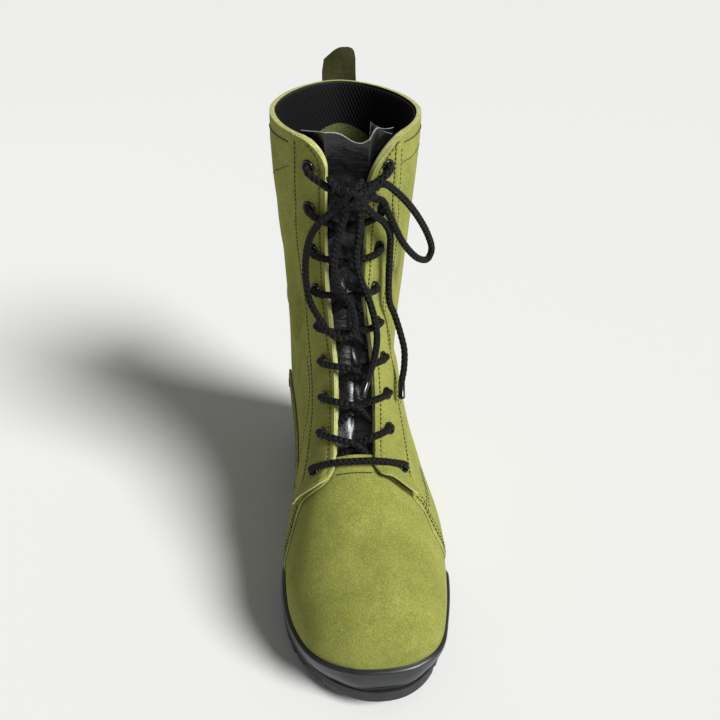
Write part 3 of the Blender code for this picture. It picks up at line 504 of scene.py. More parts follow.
def suede_material(name, deep="898D43", middle="9C9F4D", light="AAAC58", sheen=0.18):
    """Napped suede: blotches where the nap lies another way, fine fibre grain and a soft sheen."""
    made, tree, shader = blank(name)
    place = node(tree, "TexCoord", "Object")
    # The nap's grains from coarse to fine: size, detail, roughness and warp
    blotch, patch, fibre, speck = [
        node(tree, "TexNoise", "Fac", {
            "Vector": place, "Scale": PER_METRE / size, "Detail": detail,
            "Roughness": rough, "Distortion": warp,
        })
        for size, detail, rough, warp in (
            (24, 4.0, 0.6, 0.6), (5.5, 5.0, 0.7, 0.0), (1.1, 4.0, 0.7, 0.0), (0.5, 2.0, 0.6, 0.0),
        )
    ]
    color = node(tree, "ValToRGB", "Color", {"Fac": blotch}, ((0.30, deep), (0.50, middle), (0.72, light)))
    # Each finer grain over the last, with its share
    for share, kind, source, stops in (
        (0.32, "MIX", patch, ((0.32, deep), (0.52, middle), (0.70, light))),
        (0.60, "MULTIPLY", fibre, ((0.34, "9C9C9C"), (0.52, "D4D4D4"), (0.68, "FFFFFF"))),
        (0.35, "MULTIPLY", speck, ((0.36, "848484"), (0.56, "FFFFFF"))),
    ):
        tone = node(tree, "ValToRGB", "Color", {"Fac": source}, stops)
        color = node(tree, "Mix", 2, {0: share, 6: color, 7: tone}, data_type="RGBA", blend_type=kind)
    tree.links.new(color, shader.inputs["Base Color"])
    shader.inputs["Roughness"].default_value = 0.95
    shader.inputs["Specular IOR Level"].default_value = 0.15
    shader.inputs["Sheen Weight"].default_value = sheen
    shader.inputs["Sheen Roughness"].default_value = 0.55
    shader.inputs["Sheen Tint"].default_value = shade("D7D98A")
    under = node(tree, "Bump", "Normal", {"Height": patch, "Strength": 0.35, "Distance": 0.35 * MM})
    nap = node(tree, "Bump", "Normal", {
        "Height": fibre, "Strength": 0.55, "Distance": 0.22 * MM, "Normal": under,
    })
    tree.links.new(nap, shader.inputs["Normal"])
    return made


def raw_edge_material():
    """Cut edge of the suede: pale fibres."""
    made, tree, shader = blank("raw_suede_edge")
    place = node(tree, "TexCoord", "Object")
    fibre = node(tree, "TexNoise", "Fac", {
        "Vector": place, "Scale": PER_METRE / 0.7, "Detail": 4.0, "Roughness": 0.7,
    })
    streak = node(tree, "TexNoise", "Fac", {
        "Vector": place, "Scale": PER_METRE / 3.5, "Detail": 3.0, "Roughness": 0.6,
    })
    shades = ((0.28, "8D8F4C"), (0.55, "B2B372"), (0.78, "CBCB93"))
    pale = node(tree, "ValToRGB", "Color", {"Fac": fibre}, shades)
    worn = node(tree, "ValToRGB", "Color", {"Fac": streak}, ((0.35, "8C8E4C"), (0.65, "CFCF98")))
    color = node(tree, "Mix", 2, {0: 0.35, 6: pale, 7: worn}, data_type="RGBA")
    tree.links.new(color, shader.inputs["Base Color"])
    shader.inputs["Roughness"].default_value = 0.95
    shader.inputs["Specular IOR Level"].default_value = 0.12
    nap = node(tree, "Bump", "Normal", {"Height": fibre, "Strength": 0.6, "Distance": 0.25 * MM})
    tree.links.new(nap, shader.inputs["Normal"])
    return made


def thread_material():
    """Dark olive sewing thread, laid in small twists."""
    made, tree, shader = blank("sewing_thread")
    place = node(tree, "TexCoord", "Object")
    twist = node(tree, "TexNoise", "Fac", {
        "Vector": place, "Scale": PER_METRE / 0.35, "Detail": 2.0, "Roughness": 0.5,
    })
    color = node(tree, "ValToRGB", "Color", {"Fac": twist}, ((0.30, "20240E"), (0.70, "3F4420")))
    tree.links.new(color, shader.inputs["Base Color"])
    shader.inputs["Roughness"].default_value = 0.6
    ply = node(tree, "Bump", "Normal", {"Height": twist, "Strength": 0.5, "Distance": 0.08 * MM})
    tree.links.new(ply, shader.inputs["Normal"])
    return made


def rubber_material(name, dark, light, rough_low, rough_high, coat=0.0):
    """Moulded rubber with a faint bloom, fine pores and small scuffs."""
    made, tree, shader = blank(name)
    place = node(tree, "TexCoord", "Object")
    drawn = node(tree, "Mapping", "Vector", {"Vector": place, "Scale": (1.0, 1.0, 4.0)})
    bloom, pores, scuff = [
        node(tree, "TexNoise", "Fac", {
            "Vector": spot, "Scale": PER_METRE / size, "Detail": detail, "Roughness": rough,
        })
        for spot, size, detail, rough in (
            (place, 14, 4.0, 0.6), (place, 0.6, 2.0, 0.6), (drawn, 5.0, 6.0, 0.75),
        )
    ]
    body = node(tree, "ValToRGB", "Color", {"Fac": bloom}, ((0.35, dark), (0.68, light)))
    marks = node(tree, "ValToRGB", "Color", {"Fac": scuff}, ((0.66, "000000"), (0.72, "565A5C")))
    color = node(tree, "Mix", 2, {0: 0.30, 6: body, 7: marks}, data_type="RGBA", blend_type="ADD")
    tree.links.new(color, shader.inputs["Base Color"])
    rough = node(tree, "MapRange", "Result", {"Value": scuff, "To Min": rough_low, "To Max": rough_high})
    tree.links.new(rough, shader.inputs["Roughness"])
    shader.inputs["Specular IOR Level"].default_value = 0.5
    shader.inputs["Coat Weight"].default_value = coat
    shader.inputs["Coat Roughness"].default_value = 0.28
    under = node(tree, "Bump", "Normal", {"Height": scuff, "Strength": 0.10, "Distance": 0.12 * MM})
    skin_pores = node(tree, "Bump", "Normal", {
        "Height": pores, "Strength": 0.20, "Distance": 0.05 * MM, "Normal": under,
    })
    tree.links.new(skin_pores, shader.inputs["Normal"])
    return made


def leather_material():
    """Smooth black tongue leather: pebble grain, fine wrinkles and a wet gloss."""
    made, tree, shader = blank("black_tongue_leather")
    place = node(tree, "TexCoord", "Object")
    drawn = node(tree, "Mapping", "Vector", {"Vector": place, "Scale": (1.0, 1.0, 3.0)})
    grain = node(tree, "TexVoronoi", "Distance", {
        "Vector": place, "Scale": PER_METRE / 0.9,
    }, feature="SMOOTH_F1")
    wrinkle = node(tree, "TexNoise", "Fac", {
        "Vector": drawn, "Scale": PER_METRE / 7.0, "Detail": 4.0, "Roughness": 0.6, "Distortion": 0.8,
    })
    color = node(tree, "ValToRGB", "Color", {"Fac": wrinkle}, ((0.30, "060607"), (0.70, "101113")))
    tree.links.new(color, shader.inputs["Base Color"])
    rough = node(tree, "MapRange", "Result", {"Value": wrinkle, "To Min": 0.20, "To Max": 0.42})
    tree.links.new(rough, shader.inputs["Roughness"])
    shader.inputs["Coat Weight"].default_value = 0.35
    shader.inputs["Coat Roughness"].default_value = 0.18
    folds = node(tree, "Bump", "Normal", {"Height": wrinkle, "Strength": 0.7, "Distance": 0.9 * MM})
    pebbles = node(tree, "Bump", "Normal", {
        "Height": grain, "Strength": 0.25, "Distance": 0.06 * MM, "Normal": folds,
    })
    tree.links.new(pebbles, shader.inputs["Normal"])
    return made


def mesh_material():
    """Collar lining: black spacer mesh with rows of small open holes, over the suede counter."""
    made, tree, shader = blank("black_spacer_mesh")
    place = node(tree, "TexCoord", "Object")
    at = node(tree, "UVMap", "UV", uv_map="cloth")
    around = node(tree, "SeparateXYZ", "X", {"Vector": at})
    height = node(tree, "SeparateXYZ", "Y", {"Vector": at})
    waves = math.tau * PER_METRE / MESH_HOLES
    u = node(tree, "Math", 0, {0: around, 1: waves}, operation="MULTIPLY")
    v = node(tree, "Math", 0, {0: height, 1: waves}, operation="MULTIPLY")
    one = node(tree, "Math", 0, {0: u}, operation="SINE")
    two = node(tree, "Math", 0, {0: v}, operation="COSINE")
    dots = node(tree, "Math", 0, {0: one, 1: two}, operation="MULTIPLY")
    fuzz = node(tree, "TexNoise", "Fac", {
        "Vector": place, "Scale": PER_METRE / 0.5, "Detail": 3.0, "Roughness": 0.7,
    })
    blacks = ((0.0, "020203"), (0.30, "030304"), (0.70, "121318"))
    net = node(tree, "ValToRGB", "Color", {"Fac": dots}, blacks)
    lint = node(tree, "ValToRGB", "Color", {"Fac": fuzz}, ((0.40, "020203"), (0.75, "0D0E12")))
    cloth = node(tree, "Mix", 2, {0: 0.22, 6: net, 7: lint}, data_type="RGBA")
    # The suede counter shows below a curved line round the back
    square = node(tree, "Math", 0, {0: around, 1: 2.0}, operation="POWER")
    bend = node(tree, "Math", 0, {0: square, 1: COUNTER_DROP}, operation="MULTIPLY")
    level = node(tree, "Math", 0, {0: height, 1: bend}, operation="ADD")
    below = node(tree, "Math", 0, {0: level, 1: COUNTER_TOP * LINING_PITCH}, operation="LESS_THAN")
    fibre = node(tree, "TexNoise", "Fac", {
        "Vector": place, "Scale": PER_METRE / 1.4, "Detail": 4.0, "Roughness": 0.7,
    })
    olives = ((0.30, "3C3E22"), (0.55, "5C5F36"), (0.75, "74774A"))
    nap = node(tree, "ValToRGB", "Color", {"Fac": fibre}, olives)
    color = node(tree, "Mix", 2, {0: below, 6: cloth, 7: nap}, data_type="RGBA")
    tree.links.new(color, shader.inputs["Base Color"])
    shader.inputs["Roughness"].default_value = 0.80
    shader.inputs["Specular IOR Level"].default_value = 0.2
    shader.inputs["Sheen Weight"].default_value = 0.02
    shader.inputs["Sheen Roughness"].default_value = 0.4
    relief_map = node(tree, "Mix", 2, {0: below, 6: dots, 7: fibre}, data_type="RGBA")
    holes = node(tree, "Bump", "Normal", {"Height": relief_map, "Strength": 0.8, "Distance": 0.35 * MM})
    tree.links.new(holes, shader.inputs["Normal"])
    return made


def braid_material():
    """Round braided cord: the strands cross in a chevron, read from length and turn round the cord."""
    made, tree, shader = blank("black_braided_cord")
    place = node(tree, "TexCoord", "Object")
    at = node(tree, "UVMap", "UV", uv_map="cloth")
    along = node(tree, "SeparateXYZ", "X", {"Vector": at})
    turn = node(tree, "SeparateXYZ", "Y", {"Vector": at})
    u = node(tree, "Math", 0, {0: along, 1: math.tau / BRAID_PITCH}, operation="MULTIPLY")
    v = node(tree, "Math", 0, {0: turn, 1: math.tau * BRAID_STRANDS}, operation="MULTIPLY")
    one, two = [
        node(tree, "Math", 0, {0: node(tree, "Math", 0, {0: u, 1: v}, operation=way)}, operation="SINE")
        for way in ("ADD", "SUBTRACT")
    ]
    strands = node(tree, "Math", 0, {0: one, 1: two}, operation="MAXIMUM")
    threads = node(tree, "TexNoise", "Fac", {
        "Vector": place, "Scale": PER_METRE / 0.28, "Detail": 3.0, "Roughness": 0.7,
    })
    blacks = ((0.0, "010101"), (0.55, "040405"), (1.0, "0D0E10"))
    braid = node(tree, "ValToRGB", "Color", {"Fac": strands}, blacks)
    yarn = node(tree, "ValToRGB", "Color", {"Fac": threads}, ((0.40, "020202"), (0.75, "141518")))
    color = node(tree, "Mix", 2, {0: 0.5, 6: braid, 7: yarn}, data_type="RGBA")
    tree.links.new(color, shader.inputs["Base Color"])
    shader.inputs["Roughness"].default_value = 0.66
    shader.inputs["Specular IOR Level"].default_value = 0.24
    shader.inputs["Sheen Weight"].default_value = 0.01
    shader.inputs["Sheen Roughness"].default_value = 0.45
    under = node(tree, "Bump", "Normal", {"Height": strands, "Strength": 0.9, "Distance": 0.45 * MM})
    fuzz = node(tree, "Bump", "Normal", {
        "Height": threads, "Strength": 0.4, "Distance": 0.12 * MM, "Normal": under,
    })
    tree.links.new(fuzz, shader.inputs["Normal"])
    return made


def enamel_material():
    """Black enamel over metal, worn a little on the rim."""
    made, tree, shader = blank("black_eyelet_enamel")
    place = node(tree, "TexCoord", "Object")
    wear = node(tree, "TexNoise", "Fac", {
        "Vector": place, "Scale": PER_METRE / 1.2, "Detail": 4.0, "Roughness": 0.7,
    })
    color = node(tree, "ValToRGB", "Color", {"Fac": wear}, ((0.55, "08090A"), (0.78, "3A3C3E")))
    tree.links.new(color, shader.inputs["Base Color"])
    shader.inputs["Metallic"].default_value = 0.35
    rough = node(tree, "MapRange", "Result", {"Value": wear, "To Min": 0.18, "To Max": 0.45})
    tree.links.new(rough, shader.inputs["Roughness"])
    shader.inputs["Coat Weight"].default_value = 0.5
    shader.inputs["Coat Roughness"].default_value = 0.12
    return made


def cloth_material(name, dark, light, millimetres):
    """Plain woven cloth for the footbed and the lower lining."""
    made, tree, shader = blank(name)
    place = node(tree, "TexCoord", "Object")
    weave = node(tree, "TexNoise", "Fac", {
        "Vector": place, "Scale": PER_METRE / millimetres, "Detail": 3.0, "Roughness": 0.7,
    })
    dust = node(tree, "TexNoise", "Fac", {
        "Vector": place, "Scale": PER_METRE / 18, "Detail": 4.0, "Roughness": 0.6,
    })
    yarn = node(tree, "ValToRGB", "Color", {"Fac": weave}, ((0.35, dark), (0.70, light)))
    worn = node(tree, "ValToRGB", "Color", {"Fac": dust}, ((0.40, dark), (0.80, light)))
    color = node(tree, "Mix", 2, {0: 0.25, 6: yarn, 7: worn}, data_type="RGBA")
    tree.links.new(color, shader.inputs["Base Color"])
    shader.inputs["Roughness"].default_value = 0.9
    bumps = node(tree, "Bump", "Normal", {"Height": weave, "Strength": 0.6, "Distance": 0.18 * MM})
    tree.links.new(bumps, shader.inputs["Normal"])
    return made


def edge_grey_material():
    """Cut edge of the tongue: grey fibres under the black finish."""
    made, tree, shader = blank("grey_leather_edge")
    place = node(tree, "TexCoord", "Object")
    fibre = node(tree, "TexNoise", "Fac", {
        "Vector": place, "Scale": PER_METRE / 0.6, "Detail": 3.0, "Roughness": 0.7,
    })
    color = node(tree, "ValToRGB", "Color", {"Fac": fibre}, ((0.35, "6A6B66"), (0.70, "A9AAA2")))
    tree.links.new(color, shader.inputs["Base Color"])
    shader.inputs["Roughness"].default_value = 0.8
    nap = node(tree, "Bump", "Normal", {"Height": fibre, "Strength": 0.4, "Distance": 0.1 * MM})
    tree.links.new(nap, shader.inputs["Normal"])
    return made


SUEDE = suede_material("olive_suede")
RAW = raw_edge_material()
THREAD = thread_material()
GUARD_RUBBER = rubber_material("glossy_guard_rubber", "141618", "1F2124", 0.30, 0.54, 0.25)
SOLE_RUBBER = rubber_material("matte_sole_rubber", "18191B", "242628", 0.42, 0.72)
LEATHER = leather_material()
EDGE_GREY = edge_grey_material()
MESH = mesh_material()
BRAID = braid_material()
ENAMEL = enamel_material()
FOOTBED = cloth_material("black_footbed_cloth", "0C0C0E", "26272B", 0.7)
BACKING = cloth_material("dark_lining_cloth", "15160F", "2E3020", 0.8)
FLESH = suede_material("suede_flesh_side", "4A4C2B", "62653A", "7A7C4C", 0.1)
# The tab's flesh side: its own flesh tone, darkened further with painted shade because it faces away from the
# key light
TAB_FLESH_PAINTED_SHADE = suede_material("flesh_side_with_painted_shade", "34351C", "444526", "555632", 0.06)


def finish_piece(thing, slot_name, *nodes):
    """The piece rides on its body and stands for its CAD nodes, which it hides. Its slot name is not used."""
    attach(thing, "root")
    if nodes:
        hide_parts(*nodes)
    return thing


def from_arrays(name, points, faces, materials, face_materials=None, uv=None, sharp=None):
    """A mesh object from arrays, smooth shaded, with its faces' materials."""
    mesh = bpy.data.meshes.new(name)
    mesh.from_pydata([tuple(point) for point in points], [], [tuple(face) for face in faces])
    for material in materials:
        mesh.materials.append(material)
    if face_materials is not None:
        mesh.polygons.foreach_set("material_index", np.asarray(face_materials, np.int32))
    if uv is not None:
        layer = mesh.uv_layers.new(name="cloth")
        loops = np.zeros(len(mesh.loops), np.int32)
        mesh.loops.foreach_get("vertex_index", loops)
        layer.data.foreach_set("uv", np.asarray(uv, np.float32)[loops].ravel())
    mesh.validate()
    mesh.shade_smooth()
    if sharp:
        mesh.set_sharp_from_angle(angle=math.radians(sharp))
    thing = bpy.data.objects.new(name, mesh)
    bpy.context.collection.objects.link(thing)
    return thing


def panel(name, outer, inner, present=None, close=None, round_edge=0.0, uv=None,
          materials=(SUEDE, RAW, FLESH)):
    """A closed wall between two grids with a fuller, rounded cut edge. Faces are outside, edge and inside."""
    rows, columns = outer.shape[:2]
    if present is None:
        present = np.ones((rows - 1, columns - 1), bool)
    index = np.arange(rows * columns).reshape(rows, columns)
    if close is not None:
        index[close, columns - 1] = index[close, 0]
    a, b = index[:-1, :-1][present], index[1:, :-1][present]
    c, d = index[1:, 1:][present], index[:-1, 1:][present]
    out_faces = np.stack([a, d, c, b], axis=1)
    count = rows * columns
    in_faces = np.stack([a, b, c, d], axis=1) + count
    # Edges used once are the rim
    pairs = np.concatenate([out_faces[:, ends] for ends in ([0, 1], [1, 2], [2, 3], [3, 0])])
    keys = np.sort(pairs, axis=1)
    code = keys[:, 0].astype(np.int64) * count + keys[:, 1]
    _, first, uses = np.unique(code, return_index=True, return_counts=True)
    rim = pairs[first[(uses == 1) & (keys[first, 0] != keys[first, 1])]]
    points = np.concatenate([outer.reshape(-1, 3), inner.reshape(-1, 3)])
    middle = np.zeros((0, 3))
    rim_points = np.unique(rim)
    spot = {int(v): 2 * count + k for k, v in enumerate(rim_points)}
    if len(rim_points):
        away = np.zeros((2 * count, 3))
        centre = points[out_faces].mean(axis=1)
        owner = {}
        for corner in range(4):
            for face, vert in enumerate(out_faces[:, corner]):
                owner.setdefault(int(vert), []).append(face)
        for v in rim_points:
            inward = centre[owner[int(v)]].mean(axis=0) - points[v]
            through = unit(points[v + count] - points[v])
            inward = inward - through * np.dot(inward, through)
            away[v] = -unit(inward)
        middle = (points[rim_points] + points[rim_points + count]) / 2 + away[rim_points] * round_edge
    points = np.concatenate([points, middle])
    rim_faces = []
    for p, q in rim:
        rim_faces.append((q, p, spot[int(p)], spot[int(q)]))
        rim_faces.append((spot[int(q)], spot[int(p)], p + count, q + count))
    faces = [tuple(dict.fromkeys(map(int, face))) for face in np.concatenate([out_faces, in_faces])]
    kinds = [0] * len(out_faces) + [2] * len(in_faces) + [1] * len(rim_faces)
    faces += [tuple(map(int, face)) for face in rim_faces]
    keep = [k for k, face in enumerate(faces) if len(face) > 2]
    faces = [faces[k] for k in keep]
    kinds = [kinds[k] for k in keep]
    flat_uv = None
    if uv is not None:
        flat = uv.reshape(-1, 2)
        flat_uv = np.concatenate([flat, flat, flat[rim_points]])
    thing = from_arrays(name, points, faces, materials, kinds, flat_uv, 55)
    tidy = bmesh.new()
    tidy.from_mesh(thing.data)
    loose = [v for v in tidy.verts if not v.link_faces]
    bmesh.ops.delete(tidy, geom=loose, context="VERTS")
    bmesh.ops.recalc_face_normals(tidy, faces=tidy.faces)
    tidy.to_mesh(thing.data)
    tidy.free()
    return thing


def over(row, across, lift):
    """Points over the creased upper at signed distances from its front line, in metres."""
    return skin(row, turn_at(row, across), lift + relief(row, across))


def smooth_path(points, pieces):
    """Points along a smooth curve through the given ones."""
    points = np.array([tuple(point) for point in points], float)
    way = np.linspace(0, len(points) - 1, pieces + 1)
    rows = {"at": np.arange(len(points), dtype=float)}
    return np.stack([follow({**rows, "v": points[:, k]}, "at", "v", way) for k in range(3)], axis=-1)


def even(points, step):
    """Points of a line at an even step."""
    points = np.asarray(points, float)
    length = np.concatenate([[0], np.cumsum(np.linalg.norm(np.diff(points, axis=0), axis=1))])
    count = max(2, int(round(length[-1] / step)) + 1)
    places = np.linspace(0, length[-1], count)
    return np.stack([np.interp(places, length, points[:, k]) for k in range(3)], axis=-1), length[-1]


def braid_tube(name, points, radius=LACE / 2):
    """A braided cord along points, its strands raised, with its ends rounded."""
    sides = 16
    line, length = even(points, 0.0006)
    tangent = unit(np.gradient(line, axis=0))
    side = np.zeros_like(line)
    guess = np.cross(tangent[0], (0.0, 0.0, 1.0))
    side[0] = unit(guess if np.linalg.norm(guess) > 0.1 else np.cross(tangent[0], (1.0, 0.0, 0.0)))
    for k in range(1, len(line)):
        side[k] = unit(side[k - 1] - tangent[k] * np.dot(side[k - 1], tangent[k]))
    other = np.cross(tangent, side)
    at = np.linspace(0, length, len(line))
    turn = np.arange(sides) / sides
    u = at[:, None] * math.tau / BRAID_PITCH
    v = turn[None, :] * math.tau * BRAID_STRANDS
    strands = np.maximum(np.sin(u + v), np.sin(u - v))
    tip = np.minimum(np.minimum(at, length - at) / (radius * 1.2) + 0.25, 1)
    size = radius * (0.965 + 0.055 * strands) * np.sqrt(1 - (1 - tip[:, None]) ** 2)
    angle = turn * math.tau
    grid = (
        line[:, None, :]
        + side[:, None, :] * (np.cos(angle)[None, :, None] * size[..., None])
        + other[:, None, :] * (np.sin(angle)[None, :, None] * size[..., None])
    )
    rows = len(line)
    index = np.arange(rows * sides).reshape(rows, sides)
    after = np.roll(index, -1, axis=1)
    faces = np.stack([index[:-1], after[:-1], after[1:], index[1:]], axis=-1).reshape(-1, 4).tolist()
    faces += [tuple(index[0][::-1]), tuple(index[-1])]
    uv = np.empty((rows, sides, 2))
    uv[..., 0] = at[:, None]
    uv[..., 1] = turn[None, :]
    return from_arrays(name, grid.reshape(-1, 3), faces, [BRAID], uv=uv.reshape(-1, 2))


# The camera, at the photo's angle to the boot


# Fitted to the photo: place in metres, turn, tilt and roll in radians, focal length in pixels
CAMERA_PLACE = (-0.0493, -0.5158, 0.3944)
CAMERA_TURNS = (0.1245, 0.5384, 0.0245)
FOCAL_PIXELS = 749.4
PHOTO_PIXELS = 720
SENSOR_WIDTH = 36


def make_camera():
    """A camera with perspective, where the photo's camera stood."""
    place = Vector(CAMERA_PLACE)
    yaw, pitch, roll = CAMERA_TURNS
    ahead = Vector((math.sin(yaw) * math.cos(pitch), math.cos(yaw) * math.cos(pitch), -math.sin(pitch)))
    right = Vector((math.cos(yaw), -math.sin(yaw), 0))
    up = right.cross(ahead)
    rolled = right * math.cos(roll) + up * math.sin(roll)
    risen = up * math.cos(roll) - right * math.sin(roll)
    data = bpy.data.cameras.new("view")
    data.sensor_width = SENSOR_WIDTH
    data.lens = FOCAL_PIXELS / PHOTO_PIXELS * SENSOR_WIDTH
    data.clip_start = 0.01
    camera = bpy.data.objects.new("view", data)
    camera.matrix_world = Matrix((
        (rolled.x, risen.x, -ahead.x, place.x),
        (rolled.y, risen.y, -ahead.y, place.y),
        (rolled.z, risen.z, -ahead.z, place.z),
        (0, 0, 0, 1),
    ))
    bpy.context.collection.objects.link(camera)
    bpy.context.scene.camera = camera


make_camera()

# Routes of the free lace, as in the part's source: row, distance to the lateral side and lift in mm
LACE_ROUTES = {
    "lace_loop_lateral": (
        (15.00, 14.5, 14.0), (14.75, 21.0, 14.5), (14.35, 30.0, 15.5), (13.95, 40.0, 17.0),
        (13.60, 49.0, 20.0), (13.30, 55.0, 23.0), (13.02, 54.0, 22.0), (12.95, 46.0, 19.0),
        (13.05, 37.0, 16.5), (13.30, 29.0, 15.0), (13.75, 22.0, 14.5), (14.25, 17.0, 14.0),
        (14.50, 14.5, 13.5),
    ),
    "lace_end_lateral": (
        (14.10, 10.5, 12.6), (13.80, 17.0, 12.6), (13.40, 22.0, 12.0), (12.80, 24.5, 11.0),
        (12.00, 27.0, 10.4),
        (11.20, 30.5, 11.0), (10.50, 34.0, 12.0), (9.90, 36.0, 13.5), (9.40, 36.5, 14.0), (8.90, 34.0, 12.5),
        (8.50, 31.0, 10.5), (8.10, 29.5, 9.8),
    ),
    "lace_loop_medial": (
        (14.10, -8.0, 13.0), (13.80, -12.5, 13.0), (13.30, -17.0, 12.3), (12.60, -20.0, 12.3),
        (11.80, -20.5, 12.3), (11.00, -18.0, 12.3), (10.30, -13.5, 12.3), (9.75, -8.5, 12.3),
        (9.45, -3.5, 12.3), (9.62, 0.5, 12.3), (10.30, 0.5, 12.3), (11.20, -2.5, 12.3),
        (12.20, -5.0, 12.3), (13.20, -4.0, 12.3), (14.05, -1.5, 13.0),
    ),
    "lace_end_medial": (
        (14.05, 5.0, 13.0), (13.30, 4.5, 12.6), (12.40, 3.5, 12.3), (11.50, 5.0, 12.3), (10.70, 7.0, 12.3),
        (10.00, 9.0, 12.3), (9.40, 9.0, 12.3), (8.80, 6.5, 12.3), (8.30, 3.5, 12.3), (7.90, 1.5, 12.3),
    ),
}


def bare(row, across, lift):
    """Point over the last, without the leather's relief."""
    return skin(row, turn_at(row, across), lift)


def make_free_lace():
    """Loops and ends of the bow, and the knot they come from."""
    knot, middle = make_knot()
    for name, route in LACE_ROUTES.items():
        loop = "loop" in name
        points = [bare(row, across / 1000, lift / 1000) for row, across, lift in route]
        points.insert(0, middle + (points[0] - middle) * 0.45)
        if loop:
            points.append(middle + (points[-1] - middle) * 0.45)
        line = smooth_path(points, len(points) * 8)
        piece = braid_tube(name, line)
        finish_piece(piece, "black_braid", name)
        pieces = [knot] if name == "lace_loop_lateral" else []
        if not loop:
            pieces.append(make_aglet(name + "_tip", line))


def make_aglet(name, line):
    """Tip pressed on the end of the lace: dark plastic on the boot, drawn here in the eyelets' black enamel.
    """
    tip = np.array(line[-1])
    way = unit(np.array(line[-1]) - np.array(line[-2]))
    start = tip - way * 0.0105
    turn = Vector(way).to_track_quat("Z", "Y")
    profile = (
        (0.0, 0.0), (0.0021, 0.0), (0.00228, 0.0004), (0.00228, 0.0098), (0.0020, 0.0106), (0.0012, 0.0110),
        (0.0, 0.0110),
    )
    return finish_piece(lathe(name, profile, start, turn, 24, ENAMEL), "black_braid")


def lathe(name, profile, place, turn, sides, material):
    """A turned shape from radius and height pairs, standing at a place."""
    points, faces = [], []
    for radius, height in profile:
        for k in range(sides):
            angle = math.tau * k / sides
            spot = Vector((radius * math.cos(angle), radius * math.sin(angle), height))
            points.append(Vector(place) + turn @ spot)
    for ring in range(len(profile) - 1):
        for k in range(sides):
            n = (k + 1) % sides
            faces.append((ring * sides + k, ring * sides + n, (ring + 1) * sides + n, (ring + 1) * sides + k))
    thing = from_arrays(name, points, faces, [material])
    tidy = bmesh.new()
    tidy.from_mesh(thing.data)
    bmesh.ops.remove_doubles(tidy, verts=tidy.verts, dist=1e-6)
    bmesh.ops.recalc_face_normals(tidy, faces=tidy.faces)
    tidy.to_mesh(thing.data)
    tidy.free()
    thing.data.shade_smooth()
    thing.data.set_sharp_from_angle(angle=math.radians(50))
    return thing


def join(name, things):
    """One object out of several."""
    context = bpy.context
    for other in context.selected_objects:
        other.select_set(False)
    for thing in things:
        thing.select_set(True)
    context.view_layer.objects.active = things[0]
    bpy.ops.object.join()
    things[0].name = name
    things[0].data.name = name
    things[0].select_set(False)
    return things[0]


# Turns of the bow's knot, in millimetres from its middle: to the lateral side, up, and out
KNOT_TURNS = (
    ((-3, -8, -2), (-5, -3, 3), (-3, 3, 5.4), (2, 7, 3.4), (5, 8.5, -1)),
    ((1.5, -8.5, -2), (0, -4, 3.4), (2, 2, 5.8), (6, 5, 3.8), (9, 6, -1)),
    ((-14, 8, -5), (-10, 5, 0), (-5, 2, 3), (0, 0, 3.4), (5, -3, 2), (9, -6, -1)),
    ((-12, -5, -1), (-7, -1, 2.4), (-1, 1, 3.0), (6, 2.5, 3.0), (11, 4, 1), (15, 4.5, -1)),
    ((-10, -9, 0), (-7, -5, 3), (-2, -2, 4.2), (4, -3, 4.4), (9, -1, 3), (13, 0, 0)),
    ((-6, -11, 1), (-4, -6, 3.8), (1, -5, 4.8), (6, -7, 3), (8, -10, 0)),
    ((-8, 3, 0), (-4, 5, 4.2), (1, 4, 6.0), (5, 0, 5.2), (7, -6, 2)),
    ((-10, 0, 0), (-4, -3, 4.6), (3, 0, 6.2), (7, 5, 4.0), (12, 8, 0)),
)


def make_knot():
    """The bow's knot: turns of the lace wrapped over each other."""
    middle = bare(KNOT["row"], KNOT["across"], KNOT["lift"] - 0.0012)
    above = bare(KNOT["row"] + 0.4, KNOT["across"], KNOT["lift"])
    beside = bare(KNOT["row"], KNOT["across"] + 0.006, KNOT["lift"])
    up = unit(above - middle)
    side = beside - middle
    side = unit(side - up * np.dot(side, up))
    out = np.cross(side, up)
    turns = []
    for number, turn in enumerate(KNOT_TURNS):
        points = [middle + (side * x + up * y + out * z) / 1000 for x, y, z in turn]
        turns.append(braid_tube(f"knot_turn_{number}", smooth_path(points, 40), LACE / 2 * 0.98))
    return finish_piece(join("lace_knot_turns", turns), "black_braid", "lace_knot"), middle


make_free_lace()


# The upper


def hole_mask(rows, across, radius):
    """Cells of a grid whose middle lies within a radius of an eyelet's hole, in metres."""
    pitch = np.gradient(-FRONT_LENGTHS[1], FRONT_LENGTHS[0])
    row, spot = ((grid[:-1, :-1] + grid[1:, 1:]) / 2 for grid in (rows, across))
    scale = np.interp(row, FRONT_LENGTHS[0], pitch)
    mask = np.zeros(spot.shape, bool)
    for hole_row, hole_spot in EYELETS:
        mask |= ((row - hole_row) * scale) ** 2 + (spot - hole_spot) ** 2 < radius**2
    return mask


EYELETS = [(row, eyelet_across(row, side)) for side in (-1, 1) for row in eyelet_rows()]


def groove(distance, width, depth):
    """Soft dip of a sewn line at a distance from it."""
    return -depth * np.exp(-(distance / width) ** 2)


VAMP_TOP = 6.72
VAMP_LINE = 6.32
COLLAR_SEAM = 0.27


def make_vamp():
    """Front of the upper, up to a little way under the quarters and behind the bottom of the lace."""
    rows = np.concatenate([np.linspace(0, 1.2, 14), np.linspace(1.2, VAMP_TOP, 104)[1:]])
    shares = np.linspace(-1, 1, 151)
    turns = np.sign(shares) * np.abs(shares) ** 1.08 * np.ones((len(rows), 1))
    across = across_at(rows[:, None], turns)
    at = rows[:, None] + 0 * turns
    under = np.clip((at - front_row(across)) / 0.10, 0, 1)
    lift = WALL + relief(at, across) - under * 0.0006
    lift = lift + groove((at - VAMP_LINE) * ROW_PITCH / 1000, 0.0008, 0.0007)
    thing = panel("vamp", skin(at, turns, lift), skin(at, turns, 0.0), round_edge=0.0003,
                  materials=(SUEDE, RAW, BACKING))
    return finish_piece(thing, "olive_suede")


